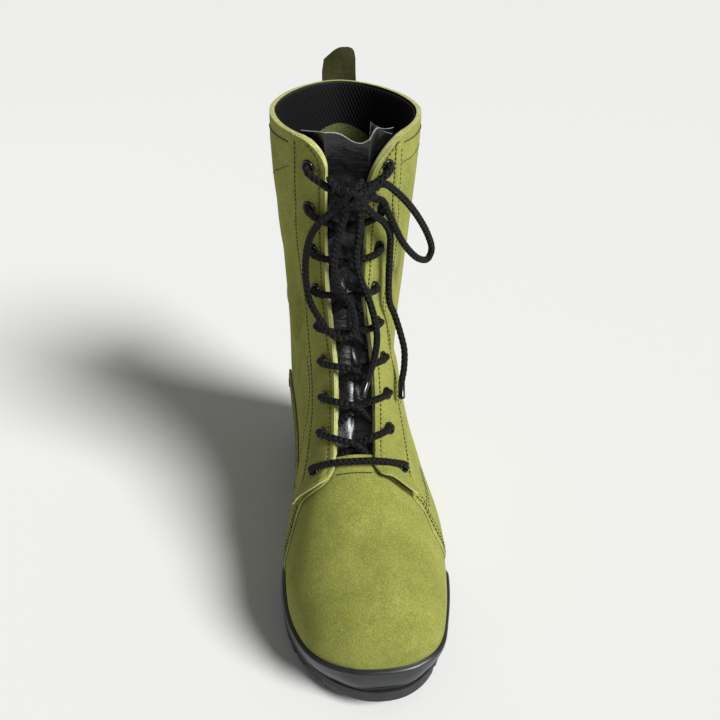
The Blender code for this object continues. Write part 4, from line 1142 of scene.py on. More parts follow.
def from_front_edge(base_rows, spots):
    """Rows of a grid whose columns start at the quarters' front edge and run even above the instep."""
    start = front_row(spots)[None, :]
    calm = 8.0
    share = np.clip((base_rows - QUARTER_ROW) / (calm - QUARTER_ROW), 0, 1)[:, None]
    return np.where(base_rows[:, None] < calm, start + (calm - start) * share, base_rows[:, None] + 0 * start)


def make_quarters():
    """Both quarters and the shaft as one wall that laps the vamp, holed under the eyelets."""
    steps = 210
    base_rows = np.concatenate([np.linspace(QUARTER_ROW, 5.75, 6), np.linspace(5.75, COLLAR_ROW, steps)[1:]])
    side_cells = 104
    shares = np.linspace(0, 1, side_cells + 1)
    starts = [float(turn_at(QUARTER_ROW, side * THROAT_HALF)) for side in (-1, 1)]
    spots = across_at(QUARTER_ROW, np.concatenate([
        starts[0] + (-1 - starts[0]) * shares[::-1], starts[1] + (1 - starts[1]) * shares,
    ]))
    at = from_front_edge(base_rows, spots)
    hidden = np.clip((0.0400 - np.abs(spots)) / 0.002, 0, 1)[None, :]
    at = at + 0.07 * hidden * np.clip((6.6 - base_rows[:, None]) / 0.6, 0, 1)
    edges = [turn_at(at, side * throat_edge(at, side)) for side in (-1, 1)]
    cut = side_cells + 1
    turns = np.concatenate([
        edges[0][:, :cut] + (-1 - edges[0][:, :cut]) * shares[::-1],
        edges[1][:, cut:] + (1 - edges[1][:, cut:]) * shares,
    ], axis=1)
    across = across_at(at, turns)
    lap = np.clip((base_rows[:, None] - QUARTER_ROW) / 0.03, 0.55, 1)
    wave = relief(at, across)
    lift = WALL + LAP * lap + wave
    lift = lift + groove((at - front_row(across) - 0.14) * ROW_PITCH / 1000, 0.0008, 0.0004)
    lift = lift + groove((COLLAR_ROW - COLLAR_SEAM - at) * ROW_PITCH / 1000, 0.0008, 0.0004)
    over_vamp = np.clip((VAMP_TOP + 0.1 - at) / 0.15, 0, 1)
    low = (WALL + 0.0002 + wave) * over_vamp + np.minimum(wave, 0) * (1 - over_vamp)
    outer = skin(at, turns, lift)
    inner = skin(at, turns, low)
    present = ~hole_mask(at, across, 0.0036)
    present[:, side_cells] = False
    thing = panel(
        "quarters", outer, inner, present, base_rows >= HEEL_ROW, 0.0005, materials=(SUEDE, RAW, BACKING),
    )
    return finish_piece(thing, "olive_suede", "upper")


LINING_TOP = 15.965


def make_lining():
    """Spacer mesh round the inside of the collar, and the suede counter below it at the back."""
    rows = np.concatenate([np.linspace(8.0, 15.5, 96), np.linspace(15.5, LINING_TOP, 26)[1:]])
    half = 78
    shares = np.linspace(0, 1, half)
    at = rows[:, None] + np.zeros((1, 2 * half))
    edges = [turn_at(at, side * (throat_edge(at, side) + 0.0030)) for side in (-1, 1)]
    turns = np.concatenate([
        edges[0][:, :half] + (-1 - edges[0][:, :half]) * shares,
        1 + (edges[1][:, half:] - 1) * shares,
    ], axis=1)
    across = across_at(at, turns)
    below_top = np.clip((LINING_TOP - at) / 0.35, 0, 1)
    puff = 0.0022 * np.sqrt(1 - (1 - below_top) ** 2) * np.clip((at - 12.5) / 0.7, 0, 1)
    wave = np.minimum(relief(at, across), 0)
    sag = 0.0006 * np.sin(across * 95 + 0.6 * at) * np.clip((15.6 - at) / 1.5, 0, 1)
    outer = skin(at, turns, wave - 0.0003)
    inner = skin(at, turns, wave + sag - 0.0011 - puff)
    present = np.ones((len(rows) - 1, 2 * half - 1), bool)
    present[rows[:-1] < HEEL_ROW, half - 1] = False
    from_back = np.where(turns < 0, 1 + turns, 1 - turns) * 0.13
    around = np.where(turns < 0, -1, 1) * from_back
    flat = np.stack([around, at * LINING_PITCH], axis=-1)
    thing = panel("collar_lining", outer, inner, present, None, 0.0003, flat, (MESH, MESH, MESH))
    return finish_piece(thing, "black_footbed")


def facing_far(row, side):
    """Outer seam of a facing: narrower toward the collar on the medial side."""
    narrow = np.clip((np.asarray(row, float) - 12.6) / 1.6, 0, 1)
    least = throat_edge(row, side) + 0.0030
    return np.maximum(THROAT_HALF + EYESTAY_WIDTH - narrow * (0.0055 if side < 0 else 0.0080), least)


def make_facing(label, side):
    """Eyelet facing with raw edges, sewn lines near both edges, pressed in round the eyelets."""
    steps = 250
    base_rows = np.concatenate([np.linspace(QUARTER_ROW, 6.1, 18), np.linspace(6.1, COLLAR_ROW, steps)[1:]])
    shares = np.linspace(0, 1, 41)
    at = from_front_edge(base_rows, side * (THROAT_HALF + EYESTAY_WIDTH * shares)) + 0.012
    at = np.minimum(at, COLLAR_ROW)
    near, far = throat_edge(at, side), facing_far(at, side)
    spots = near + (far - near) * shares[None, :]
    turns = turn_at(at, side * spots)
    from_ear = (at - front_row(side * spots)) * ROW_PITCH * 1.2 / 1000
    sewn = groove(spots - near - 0.0034, 0.0007, 0.0004) + groove(far - spots - 0.0018, 0.0007, 0.0004)
    sewn = sewn + groove(from_ear - 0.0040, 0.0007, 0.0004)
    dish = np.zeros(spots.shape)
    for row, spot in EYELETS:
        if spot * side > 0:
            gap = np.hypot((at - row) * ROW_PITCH * 1.25 / 1000, spots - abs(spot))
            dish += groove(gap, 0.0062, 0.0006)
    curl = np.exp(-((from_ear / 0.0065) ** 2)) * 0.0040 * np.clip((spots - 0.011) / 0.007, 0, 1)
    base = WALL + LAP + 0.0002 + relief(at, side * spots)
    high = base + OVERLAY + sewn + dish + curl
    low = base + curl + np.minimum(dish, 0) * 0.3
    present = ~hole_mask(at, side * spots, 0.0036)
    outer, inner = skin(at, turns, high), skin(at, turns, low)
    if side < 0:
        outer, inner, present = outer[:, ::-1], inner[:, ::-1], present[:, ::-1]
    thing = panel(f"facing_{label}", outer, inner, present, None, 0.0004)
    return finish_piece(thing, "olive_suede", f"eyestay_{label}")


# Sewn lines: each stitch is a small pressed thread


STITCHES = []
STITCH_SIDES = 6
# Rings of one stitch: share of its length, share of its radius and height in radii
STITCH_RINGS = np.array([
    (0.0, 0.35, -0.9), (0.2, 1.0, -0.1), (0.5, 1.1, 0.1), (0.8, 1.0, -0.1), (1.0, 0.35, -0.9),
])


def read_line(steps, points, at):
    """Points of a line at distances along it."""
    return np.stack([np.interp(at, steps, points[:, k]) for k in range(3)], axis=-1)


def stitch_line(points, normals, pitch=0.0029, length=0.0023, radius=0.00036):
    """Lay stitches along points, half sunk in the leather."""
    points, normals = np.asarray(points, float), np.asarray(normals, float)
    steps = np.concatenate([[0], np.cumsum(np.linalg.norm(np.diff(points, axis=0), axis=1))])
    count = max(1, int(steps[-1] / pitch))
    middle = (np.arange(count) + 0.5) * steps[-1] / count
    start = read_line(steps, points, middle - length / 2)
    stop = read_line(steps, points, middle + length / 2)
    normal = unit(read_line(steps, normals, middle))
    side = unit(np.cross(unit(stop - start), normal))
    share, size, height = STITCH_RINGS.T
    centre = start[:, None] + (stop - start)[:, None] * share[None, :, None]
    centre = centre + normal[:, None] * (radius * height)[None, :, None]
    angle = np.arange(STITCH_SIDES) * math.tau / STITCH_SIDES
    around = side[:, None] * np.cos(angle)[None, :, None] + normal[:, None] * np.sin(angle)[None, :, None]
    STITCHES.append(centre[:, :, None] + around[:, None] * (radius * size)[None, :, None, None])


def make_stitching():
    """All the stitches as one piece."""
    points = np.concatenate(STITCHES)
    count, rings = points.shape[:2]
    index = np.arange(points.size // 3).reshape(count, rings, STITCH_SIDES)
    after = np.roll(index, -1, axis=2)
    faces = np.stack([index[:, :-1], after[:, :-1], after[:, 1:], index[:, 1:]], axis=-1).reshape(-1, 4)
    thing = from_arrays("stitching", points.reshape(-1, 3), faces.tolist(), [THREAD])
    return finish_piece(thing, "olive_suede")


def sew(route, lift, pieces=80, **sizes):
    """Sew over the upper along a route of rows and signed distances in metres."""
    way = np.linspace(0, len(route) - 1, pieces + 1)
    rows = np.interp(way, np.arange(len(route)), [spot[0] for spot in route])
    spots = np.interp(way, np.arange(len(route)), [spot[1] for spot in route])
    low, high = over(rows, spots, lift), over(rows, spots, lift + 0.001)
    stitch_line(low, unit(high - low), **sizes)


# How far a facing's seams lie inside its throat edge and its far edge
SEAM_FROM_THROAT = 0.0034
SEAM_FROM_EDGE = 0.0018


def sew_facings():
    """Seams of the facings: along the throat, along the far edge and over the front."""
    lift = WALL + LAP + OVERLAY + 0.0001
    for side in (-1, 1):
        rows = np.linspace(6.45, 15.86, 90)
        sew([(row, side * (float(throat_edge(row, side)) + SEAM_FROM_THROAT)) for row in rows], lift, 260)
        rows = np.linspace(6.1, 15.86, 90)
        sew([(row, side * (float(facing_far(row, side)) - SEAM_FROM_EDGE)) for row in rows], lift, 260)
        spots = side * np.linspace(THROAT_HALF + 0.0050, 0.038, 30)
        sew([(float(front_row(spot)) + 0.20, spot) for spot in spots], lift, 70)


def sew_upper():
    """Seams of the quarters, where the photo shows them."""
    lift = WALL + LAP + 0.0001
    top = COLLAR_ROW - COLLAR_SEAM
    for side in (-1, 1):
        start = THROAT_HALF + EYESTAY_WIDTH + 0.001
        sew([(top, spot) for spot in side * np.linspace(start, 0.100, 40)], lift, 120)
        spots = side * np.linspace(0.0415, 0.088, 30)
        for inset in (0.14, 0.30):
            sew([(float(front_row(spot)) + inset, spot) for spot in spots], lift, 80)
    second = [
        (row, 0.0450 - 0.0075 * min(max((row - 12.6) / 1.6, 0), 1))
        for row in np.linspace(15.6, 8.2, 60)
    ]
    sew(second, lift, 200)
    for inset in (0.0, 0.0030):
        sew([(6.95, 0.063 + inset), (6.35, 0.0560 + inset), (5.80, 0.0505 + inset)], lift, 40)
    sew([(VAMP_LINE, spot) for spot in np.linspace(-0.0108, 0.0108, 20)], WALL, 30, pitch=0.0022)
    sew([(row, -0.0445 - 0.02 * max(8.6 - row, 0) ** 1.5) for row in np.linspace(9.6, 7.3, 30)], lift, 60)
    sew([(14.85, -0.068), (15.02, -0.052), (15.15, -0.0395)], lift, 24, pitch=0.0032)
    sew([(15.20, 0.0395), (15.30, 0.056), (15.42, 0.075)], lift, 30)


# Seats of the guard, the patch and their seams


def surface_tree(low, high, lift):
    """A search tree on the outside of the upper between two rows."""
    rows = np.linspace(low, high, 120)
    turns = np.linspace(-1, 1, 121)
    grid = skin(rows[:, None], turns[None, :], lift)
    across = len(turns)
    corners = [i * across + j for i in range(len(rows) - 1) for j in range(across - 1)]
    cells = [(c, c + 1, c + across + 1, c + across) for c in corners]
    return BVHTree.FromPolygons([Vector(point) for point in grid.reshape(-1, 3)], cells)


QUARTER_TREE = surface_tree(QUARTER_ROW, 13.5, WALL + LAP)
TOE_TREE = surface_tree(0.0, QUARTER_ROW, WALL)


def on_medial(along, height, lift):
    """Point over the medial quarter at a share of the length and a height above the sole."""
    start = Vector((-BALL_WIDTH, float(y_along(along)), float(sole_top(along)) + height))
    hit = QUARTER_TREE.ray_cast(start, Vector((1, 0, 0)))
    out = hit[1] if hit[1].x < 0 else -hit[1]
    return hit[0] + out * lift, out


def patch_top(along):
    """Height of the arch patch above the sole."""
    return PATCH_HEIGHT * float(np.interp(-along, -PATCH["along"], PATCH["height"]))


def make_patch():
    """Arch patch on the medial quarter, with two sewn lines along its edge and two vents."""
    places = np.concatenate([np.linspace(0.462, 0.20, 90), np.linspace(0.20, 0.144, 26)[1:]])
    shares = np.linspace(0, 1, 44)
    outer, inner = [], []
    vents = [(0.440, PATCH_HEIGHT * 0.30), (0.178, PATCH_HEIGHT * 0.84)]
    keep = np.ones((len(places) - 1, len(shares) - 1), bool)
    for i, along in enumerate(places):
        top = patch_top(along)
        out_ring, in_ring = [], []
        for j, share in enumerate(shares):
            height = 0.0006 + (top - 0.0006) * share
            low, out = on_medial(along, height, 0.0005)
            edge = top - height
            side = min(abs(along - 0.462), abs(along - 0.144)) * LENGTH
            gap = min(edge, side)
            dip = groove(gap - 0.0030, 0.0005, 0.0004) + groove(gap - 0.0056, 0.0005, 0.0004)
            lift = OVERLAY + 0.0004 + float(dip)
            in_ring.append(low)
            out_ring.append(low + Vector((out.x, out.y, max(out.z, 0))) * lift)
            if i < len(places) - 1 and j < len(shares) - 1:
                for vent_along, vent_height in vents:
                    if math.hypot((along - vent_along) * LENGTH, height - vent_height) < VENT_INNER * 1.5:
                        keep[i, j] = False
        outer.append(out_ring)
        inner.append(in_ring)
    thing = panel("arch_patch_suede", np.array(outer), np.array(inner), keep, None, 0.0004)
    finish_piece(thing, "olive_suede", "arch_patch")
    for inset in (0.0030, 0.0056):
        line, normals = [], []
        front, rear = 0.462 - inset / LENGTH, 0.144 + inset / LENGTH
        for along in np.concatenate([np.linspace(front, 0.20, 70), np.linspace(0.2, rear, 12)[1:]]):
            low, out = on_medial(along, max(patch_top(along) - inset, 0.002), 0.0005 + OVERLAY + 0.0004)
            line.append(low)
            normals.append(out)
        stitch_line(line, normals)
    for name, (along, height) in zip(("front", "rear"), vents):
        low, out = on_medial(along, height, 0.0005 + OVERLAY + 0.0002)
        turn = Vector(out).to_track_quat("Z", "Y")
        ring = make_ring(f"vent_ring_{name}", low, turn, VENT_OUTER, VENT_INNER, 0.0010)
        finish_piece(ring, "black_enamel", f"vent_eyelet_{name}")


def make_ring(name, place, turn, outer, inner, thick):
    """Rolled eyelet rim with a barrel through the leather and a dark floor."""
    profile = [(0.0, -0.0026), (inner, -0.0026), (inner, thick * 0.45)]
    for k in range(7):
        angle = math.pi * k / 6
        middle, half = (inner + outer) / 2, (outer - inner) / 2
        profile.append((middle - half * math.cos(angle), thick * 0.45 + thick * 0.55 * math.sin(angle)))
    profile += [
        (outer, 0.0), (outer * 0.93, -0.0004), (inner * 1.2, -0.0006), (inner * 1.2, -0.0030), (0.0, -0.0030),
    ]
    return lathe(name, profile, place, turn, 32, ENAMEL)


def make_eyelets():
    """Rims of the lace eyelets, square to the facing under each."""
    for label, side in (("medial", -1), ("lateral", 1)):
        for number, row in enumerate(eyelet_rows(), 1):
            spot = eyelet_across(row, side)
            low = over(row, spot, WALL + LAP + OVERLAY - 0.0001)
            high = over(row, spot, WALL + LAP + OVERLAY + 0.001)
            turn = Vector(high - low).to_track_quat("Z", "Y")
            ring = make_ring(
                f"rim_{label}_{number}", low, turn, EYELET_OUTER * 0.90, EYELET_INNER, EYELET_THICK,
            )
            finish_piece(ring, "black_enamel", f"eyelet_{label}_{number}")


# The laced part of the lace: one strand from each bottom eyelet, crossing up the throat


def crossing_side(side, rows):
    """Path of the strand that starts in the bottom eyelet of one side."""
    over_facing = FACING_TOP + 0.0003 + LACE / 2
    points = []
    mouth = eyelet_across(rows[0], side)
    points.append(bare(rows[0], mouth * 0.96, 0.0015))
    here = side
    inside = THROAT_HALF - LACE / 2 - 0.0002
    for row, above in zip(rows[:-2], rows[1:-1]):
        step = above - row
        other = -here
        mouth = eyelet_across(above, other)
        points.append(bare(row + step * 0.16, here * THROAT_HALF * 1.05, -0.0012))
        points.append(bare(row + step * 0.26, here * inside * 0.80, -0.0008))
        points.append(bare(row + step * 0.45, here * 0.0002, 0.0034 + here * 0.0020))
        points.append(bare(row + step * 0.64, other * inside * 0.95, over_facing * 0.94))
        points.append(bare(row + step * 0.80, other * (THROAT_HALF + 0.0035), over_facing + 0.0004))
        points.append(bare(row + step * 0.95, mouth * 0.88, over_facing + 0.0008))
        points.append(bare(above, mouth * 0.99, over_facing - 0.0012))
        points.append(bare(above + step * 0.015, mouth, 0.0030))
        here = other
    return points, here


def make_laced():
    """Bar and crossings as three braided strands through the eyelets, up to the knot."""
    rows = eyelet_rows()
    over_facing = FACING_TOP + 0.0003 + LACE / 2
    spots = []
    for side in (-1, 1):
        mouth = eyelet_across(rows[0], side)
        spots.append([
            (mouth, 0.0025), (mouth * 0.985, over_facing - 0.0010), (mouth * 0.86, over_facing + 0.0006),
            (side * THROAT_HALF, over_facing),
        ])
    line = spots[0] + [(0.0, over_facing - 0.0015)] + spots[1][::-1]
    bar = [bare(rows[0], across, lift) for across, lift in line]
    pieces = [braid_tube("bar", smooth_path(bar, 120))]
    for label, side in (("a", -1), ("b", 1)):
        points, here = crossing_side(side, rows)
        row, above = rows[-2], rows[-1]
        step = above - row
        points.append(bare(row + step * 0.10, here * THROAT_HALF * 1.1, -0.0012))
        points.append(bare(row + step * 0.24, here * THROAT_HALF * 0.6, 0.0005))
        points.append(bare(row + step * 0.45, here * THROAT_HALF * 0.25, 0.0050 + here * 0.0015))
        points.append(bare(KNOT["row"] - 0.05, -here * 0.0020, KNOT["lift"] - 0.0035))
        pieces.append(braid_tube(f"strand_{label}", smooth_path(points, len(points) * 8)))
    # The top eyelets feed the knot: out of the hole, over the facing's edge and down to it
    for side in (-1, 1):
        row = rows[-1]
        mouth = eyelet_across(row, side)
        points = [
            bare(row, mouth, 0.0028), bare(row + 0.01, mouth * 0.99, over_facing - 0.0010),
            bare(row - 0.10, mouth * 0.86, over_facing + 0.0012),
            bare(row - 0.30, mouth * 0.60, over_facing + 0.0014),
            bare(row - 0.46, mouth * 0.34, KNOT["lift"] - 0.0020),
        ]
        pieces.append(braid_tube(f"feed_{'a' if side < 0 else 'b'}", smooth_path(points, 40)))
    laced = join("lace_through_eyelets", pieces)
    names = ["lace_bar"] + [f"lace_crossing_{number}" for number in range(1, EYELET_ROWS)]
    return finish_piece(laced, "black_braid", *names)


# Tongue, tab, guard and sole


def tongue_lift(row, across):
    """Depth of the tongue's outer face below the last: it sinks in the throat."""
    start = np.clip((row - 5.7) / 1.6, 0, 1)
    inside = np.maximum(1 - (np.abs(across) / (THROAT_HALF * 1.25)) ** 2, 0)
    return -(TONGUE_GAP + TONGUE_SINK * inside * start)


# Wave of the tongue's cut top, as heights above its solid in mm by distance across it
TONGUE_TOP = table(
    ("across", "height"),
    (-36.0, 2.0), (-22.0, 4.0), (-14.0, 5.0), (-7.0, 3.4), (0.0, 0.4), (6.0, -1.6), (11.0, -1.4), (15.0, 2.0),
    (18.0, 5.0), (22.0, 6.0), (28.0, 3.0), (36.0, 0.0),
)


def make_tongue():
    """Glossy leather tongue: soft folds across it and a waved top edge."""
    base_rows = np.concatenate([np.linspace(5.62, 6.4, 14), np.linspace(6.4, 15.9, 216)[1:]])
    spots = np.linspace(-TONGUE_HALF, TONGUE_HALF, 84)
    extra = follow(TONGUE_TOP, "across", "height", spots * 1000)[None, :] / 1000
    at = base_rows[:, None] + 0 * extra
    up = extra * np.clip((at - 14.5) / 1.4, 0, 1) ** 1.5
    across = spots[None, :] + 0 * at
    turns = turn_at(at, across)
    u, v = at * ROW_PITCH, across * 1000
    folds = np.sin(u * 0.42 + 1.6 * np.sin(v * 0.13) + 0.5) * 0.5 + np.sin(u * 0.93 + v * 0.22) * 0.22
    folds = folds + np.sin(v * 0.55 + 1.2 * np.sin(u * 0.09)) * 0.30
    calm = np.clip((at - 6.0) / 0.8, 0, 1) * np.clip((16 - at) / 1.5, 0, 1)
    lift = tongue_lift(at, across) + folds / 1000 * 0.75 * np.clip(1 - np.abs(v) / 30, 0.2, 1) * calm
    sunk = 0.0022 * np.clip((np.abs(v) - 14) / 8, 0, 1) * np.clip(at - 12.5, 0, 1)
    lift = np.minimum(lift, -0.0007) - sunk
    outer = skin(at, turns, lift)
    inner = skin(at, turns, lift - TONGUE_THICK * 0.8)
    outer[..., 2] += up
    inner[..., 2] += up
    thing = panel("tongue_leather", outer, inner, None, None, 0.0003, materials=(LEATHER, EDGE_GREY, LEATHER))
    return finish_piece(thing, "black_leather", "tongue")


def make_gusset():
    """Folded leather gusset that shows beside the tongue on the lateral side."""
    base_rows = np.linspace(12.6, 15.9, 50)
    spots = np.linspace(0.019, 0.044, 26)
    share = (spots - spots[0]) / (spots[-1] - spots[0])
    rise = 0.0085 - 0.0150 * share + 0.0080 * share**2
    at = base_rows[:, None] + 0 * share
    turns = turn_at(at, spots[None, :] + 0 * at)
    bow = 0.0016 * np.sin(share * math.pi)[None, :] + 0.0007 * np.sin(at * 2.2)
    lift = -0.0072 - bow
    outer, inner = skin(at, turns, lift), skin(at, turns, lift - 0.0009)
    for grid in (outer, inner):
        grid[..., 2] += rise[None, :] * np.clip((at - 14.5) / 1.4, 0, 1)
    thing = panel("tongue_gusset", outer, inner, None, None, 0.0002, materials=(LEATHER, EDGE_GREY, LEATHER))
    return finish_piece(thing, "black_leather")


# Height of the pull tab's cut top, by place across it, from its folded corner to its round one
TAB_TOP = table(
    ("share", "height"),
    (-1.0, 0.66), (-0.70, 0.80), (-0.38, 0.93), (-0.10, 0.985), (0.30, 1.0), (0.66, 0.985), (0.86, 0.92),
    (0.95, 0.83), (1.0, 0.68),
)


def make_tab():
    """Pull tab of folded suede, its top cut round and its medial corner turned over."""
    low = WALL + LAP + 0.0004
    start = row_below(BACK_LENGTHS, TAB_TAIL)
    rows = np.linspace(start, COLLAR_ROW, 24)[:, None]
    shares = np.linspace(-1, 1, 41)
    x = shares * TAB_WIDTH / 2
    turns = np.where(x < 0, -1, 1) * (1 - np.abs(x) / (BALL_WIDTH * 1.55))
    grids = []
    for lift in (low + TAB_THICK, low):
        near, middle = skin(rows, turns[None, :], lift), skin(rows, 1.0, lift)
        sewn = np.stack([
            np.broadcast_to(x, near.shape[:2]), near[..., 1], np.broadcast_to(middle[..., 2], near.shape[:2]),
        ], -1)
        rise = unit(sewn[-1, 20] - sewn[-2, 20])
        top = follow(TAB_TOP, "share", "height", shares)
        t = np.linspace(0.03, 1, 34)[:, None]
        height = t * top[None, :]
        flat = np.clip(1 - height / 0.6, 0, 1)
        base = sewn[-1]
        y = base[20, 1] + (base[None, :, 1] - base[20, 1]) * flat + rise[1] * 0.4 * height * TAB_RISE
        z = base[None, :, 2] + rise[2] * height * TAB_RISE
        # The medial corner bends toward the leg past a slanting line, and the whole tab is a little wavy
        past = np.clip((height - 0.36) / 0.4 - (shares[None, :] + 0.9) * 1.5, 0, 0.8)
        y = y - 0.0065 * past**1.4 + 0.0009 * np.sin(height * 5 + shares[None, :] * 2.2) * height
        wide = x[None, :] + 0.0010 * past + 0 * height
        grids.append(np.concatenate([sewn, np.stack([wide, y, z], -1)]))
    # The tab's edge and inside face take the flesh-side suede, darkened with painted shade
    materials = (SUEDE, TAB_FLESH_PAINTED_SHADE, TAB_FLESH_PAINTED_SHADE)
    thing = panel("pull_tab_suede", grids[0], grids[1], None, None, 0.0005, materials=materials)
    finish_piece(thing, "olive_suede", "pull_tab")
    for column in (4, 36):
        line = grids[0][2:22, column]
        stitch_line(line, np.tile((0.0, 1.0, 0.0), (len(line), 1)))
    for row in (2, 21):
        line = grids[0][row, 4:37]
        stitch_line(line, np.tile((0.0, 1.0, 0.0), (len(line), 1)))


def make_guard():
    """Toe guard: a moulded band with a rolled top lip and a fine line above the sole."""
    centre_y = float(y_along(0.74))
    ends = []
    for side, along in ((-1, GUARD_END_MEDIAL), (1, GUARD_END_LATERAL)):
        edge = outline(np.array([along]))[0 if side < 0 else 1][0]
        ends.append(math.atan2(edge, -(float(y_along(along)) - centre_y)))
    turns = np.linspace(ends[0], ends[1], 200)
    # Height shares and thickness shares of the band's face, with its lip at the top
    profile = (
        (0.0, 1.00), (0.05, 1.10), (0.10, 1.12), (0.125, 1.02), (0.15, 1.14), (0.28, 1.17), (0.45, 1.15),
        (0.60, 1.08), (0.72, 0.99), (0.80, 0.90), (0.86, 0.86), (0.90, 0.86), (0.95, 0.72), (0.985, 0.45),
        (1.0, 0.16),
    )
    outer, inner = [], []
    for number, turn in enumerate(turns):
        way = Vector((math.sin(turn), -math.cos(turn), 0))
        fade = min(1, (min(number, len(turns) - 1 - number) * 40 / 199 + 0.35) / 3.0)
        fade = fade * fade * (3 - 2 * fade)
        out_ring, in_ring = [], []
        for height, depth in profile:
            rise = 2 * SEAT_GAP + height * GUARD_HEIGHT * (0.45 + 0.55 * fade)
            z = BALL_THICK + TOE_SPRING + rise
            for _ in range(4):
                start = Vector((0.0, centre_y, z))
                hit = TOE_TREE.ray_cast(start, way)
                z = float(sole_top(np.clip(along_y(hit[0].y), 0, 1))) + rise
            in_ring.append(start + way * (hit[3] + 0.0002))
            out_ring.append(start + way * (hit[3] + 0.0004 + GUARD_THICK * depth))
        outer.append(out_ring)
        inner.append(in_ring)
    outer, inner = np.array(outer), np.array(inner)
    for ring in (outer, inner):
        floor = sole_top(np.clip(along_y(ring[..., 1]), 0, 1)) + 0.0001
        ring[..., 0, 2] = floor[..., 0]
    materials = (GUARD_RUBBER, GUARD_RUBBER, GUARD_RUBBER)
    return finish_piece(panel("toe_guard_rubber", outer, inner, None, None, 0.0002, materials=materials),
                        "black_rubber", "toe_bumper")


def make_sole():
    """Moulded sole: a rounded welt line, ribs at the sides of the forefoot and cross lugs below."""
    plain = [0.0004, 0.0015, 0.004, 0.008, 0.014, 0.022, 0.032, *np.linspace(0.045, 0.452, 60)]
    stations = [(place, 0.0) for place in plain]
    # One lug: places in halves of its pitch, with the depth share of the cut before the next
    lug = (
        (0.0, 0.0), (0.45, 0.0), (0.86, 0.0), (0.95, 0.5), (1.04, 1.0), (1.4, 1.0), (1.76, 1.0), (1.86, 0.5),
    )
    half = LUG_PITCH / LENGTH / 2
    place = 0.455
    while place < 0.93:
        stations += [(place + half * step, depth) for step, depth in lug]
        place += half * 2
    stations += [(value, 0.0) for value in np.linspace(place, 0.9996, 26)]
    along = np.array([pair[0] for pair in stations])
    cut = np.array([pair[1] for pair in stations])
    medial, lateral = outline(along)
    bottom = tread_z(along) + cut * LUG_DEPTH
    top = sole_top(along)
    middle, wide = (medial + lateral) / 2, (lateral - medial) / 2
    # Shares of the half-width, heights from tread to top, and depth of the side ribs
    profile = (
        (0.0, 0.0, 0.0), (0.40, 0.0, 0.0), (0.80, 0.0, 0.0), (0.945, 0.0, 0.0), (0.972, 0.06, 0.6),
        (0.984, 0.18, 0.9),
        (0.990, 0.34, 0.9), (0.995, 0.50, 0.6), (0.998, 0.58, 0.15), (0.985, 0.63, 0.0), (0.985, 0.66, 0.0),
        (1.000, 0.70, 0.0), (1.002, 0.78, 0.0), (0.999, 0.88, 0.0), (0.990, 0.955, 0.0), (0.972, 1.0, 0.0),
        (0.90, 1.0, 0.0), (0.5, 1.0, 0.0), (0.0, 1.0, 0.0),
    )
    rings = []
    loop = list(profile) + [(-w, h, r) for w, h, r in profile[-2:0:-1]]
    for width, height, rib in loop:
        side = 1 if width >= 0 else -1
        x = middle + wide * width - side * cut * rib * LUG_DEPTH * (0.55 if abs(width) > 0.9 else 0)
        z = bottom + (top - bottom) * height
        rings.append(np.stack([x, y_along(along), z], axis=-1))
    grid = np.stack(rings, axis=1)
    rows, count = grid.shape[:2]
    index = np.arange(rows * count).reshape(rows, count)
    after = np.roll(index, -1, axis=1)
    faces = np.stack([index[:-1], after[:-1], after[1:], index[1:]], axis=-1).reshape(-1, 4).tolist()
    faces += [tuple(index[0][::-1]), tuple(index[-1])]
    thing = from_arrays("outsole_rubber", grid.reshape(-1, 3), faces, [SOLE_RUBBER], sharp=38)
    tidy = bmesh.new()
    tidy.from_mesh(thing.data)
    bmesh.ops.recalc_face_normals(tidy, faces=tidy.faces)
    tidy.to_mesh(thing.data)
    tidy.free()
    return finish_piece(thing, "black_rubber", "outsole")


def make_footbed():
    """Footbed with a raised rim and a heel cup, over its solid."""
    heel = (1 - np.cos(np.linspace(0.02, 1, 20) * math.pi / 2)) * 0.06
    toe = 1 - (1 - np.sin(np.linspace(0, 1, 16) * math.pi / 2)) * 0.068
    along = np.concatenate([heel, np.linspace(0.062, 0.93, 90), toe])
    along = np.unique(np.clip(along, 0.0006, 0.9994))
    medial, lateral = outline(along)
    inset = 1 - 2 * (WALL + LAP + WELT + 3 * SEAT_GAP) / BALL_WIDTH
    middle = follow(OUTLINE, "along", "swing", along) * BALL_WIDTH
    place = LAST_HEEL + along * (LAST_TOE - LAST_HEEL)
    shift = follow(OUTLINE, "along", "swing", place) * BALL_WIDTH
    left = shift + (medial - middle) * inset
    right = shift + (lateral - middle) * inset
    y = y_along(LAST_HEEL + 0.006 + along * (LAST_TOE - LAST_HEEL - 0.012))
    low = sole_top(along_y(y)) + SEAT_GAP
    middle, half = (left + right) / 2, (right - left) / 2 * 0.965
    shares = np.sin(np.linspace(-1, 1, 41) * math.pi / 2)
    rim = 0.0012 * np.abs(shares) ** 6
    x = middle[:, None] + half[:, None] * shares[None, :]
    z_top = low[:, None] + INSOLE_THICK + rim[None, :]
    outer = np.stack([x, np.broadcast_to(y[:, None], x.shape), z_top], axis=-1)
    inner = np.stack([
        x, np.broadcast_to(y[:, None], x.shape), np.broadcast_to(low[:, None], x.shape),
    ], axis=-1)
    thing = panel("footbed_cloth", outer, inner, None, None, 0.0003, materials=(FOOTBED, FOOTBED, FOOTBED))
    return finish_piece(thing, "black_footbed", "insole")


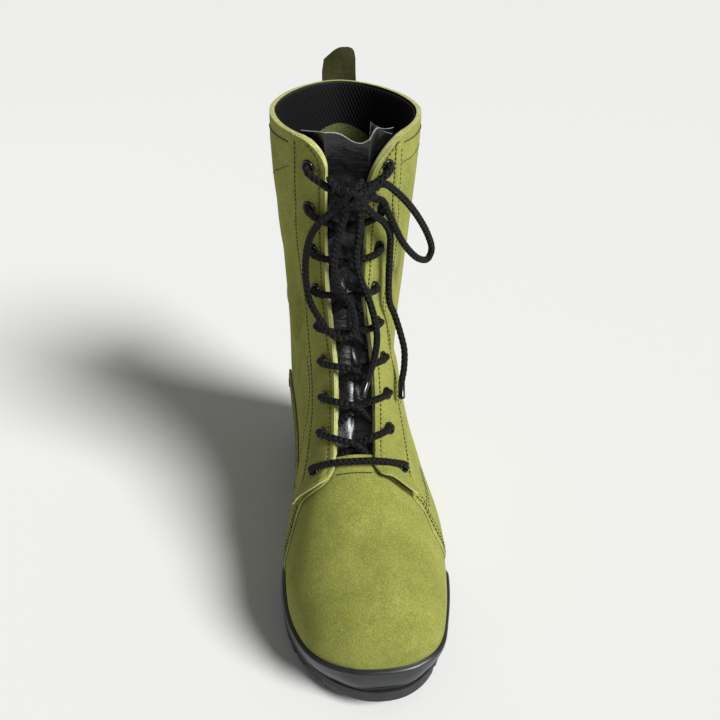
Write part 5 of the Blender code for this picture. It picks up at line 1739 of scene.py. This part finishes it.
make_vamp()
make_quarters()
make_lining()
make_facing("medial", -1)
make_facing("lateral", 1)
sew_facings()
sew_upper()
make_patch()
make_eyelets()
make_laced()
make_tongue()
make_gusset()
make_tab()
make_guard()
make_sole()
make_footbed()
make_stitching()


# Floor, light and the view's colour settings


def area_light(name, place, target, size, power, tint="FFFFFF"):
    """Soft square light aimed at a point."""
    data = bpy.data.lights.new(name, "AREA")
    data.shape = "RECTANGLE"
    data.size, data.size_y = size
    data.energy = power
    data.color = shade(tint)[:3]
    lamp = bpy.data.objects.new(name, data)
    lamp.location = place
    lamp.rotation_euler = (Vector(target) - Vector(place)).to_track_quat("-Z", "Y").to_euler()
    bpy.context.collection.objects.link(lamp)


def sun_light(name, toward, strength, spread):
    """Soft directional key light, from a direction and with its spread in degrees."""
    data = bpy.data.lights.new(name, "SUN")
    data.energy = strength
    data.angle = math.radians(spread)
    lamp = bpy.data.objects.new(name, data)
    lamp.rotation_euler = Vector(toward).to_track_quat("Z", "Y").to_euler()
    bpy.context.collection.objects.link(lamp)


def make_studio():
    """Pale seamless floor and soft light from above, in front and both sides."""
    mesh = bpy.data.meshes.new("studio_floor")
    edge = 6.0
    corners = [(-edge, -edge, 0), (edge, -edge, 0), (edge, edge, 0), (-edge, edge, 0)]
    mesh.from_pydata(corners, [], [(0, 1, 2, 3)])
    paper, _, shader = blank("white_paper")
    shader.inputs["Base Color"].default_value = shade("E6E6E4")
    shader.inputs["Roughness"].default_value = 0.9
    shader.inputs["Specular IOR Level"].default_value = 0.1
    mesh.materials.append(paper)
    floor = bpy.data.objects.new("studio_floor", mesh)
    bpy.context.collection.objects.link(floor)
    target = (0.0, -0.08, 0.12)
    sun_light("key", (0.60, -0.52, 0.66), 4.6, 24)
    area_light("rear_left", (-0.8, 0.7, 0.8), target, (0.7, 0.7), 0.3)
    world = bpy.data.worlds.new("studio")
    world.use_nodes = True
    back = world.node_tree.nodes["Background"]
    back.inputs["Color"].default_value = shade("FFFFFF")
    back.inputs["Strength"].default_value = 0.16
    scene = bpy.context.scene
    scene.world = world
    scene.view_settings.view_transform = "Standard"
    scene.view_settings.exposure = 0.0


make_studio()
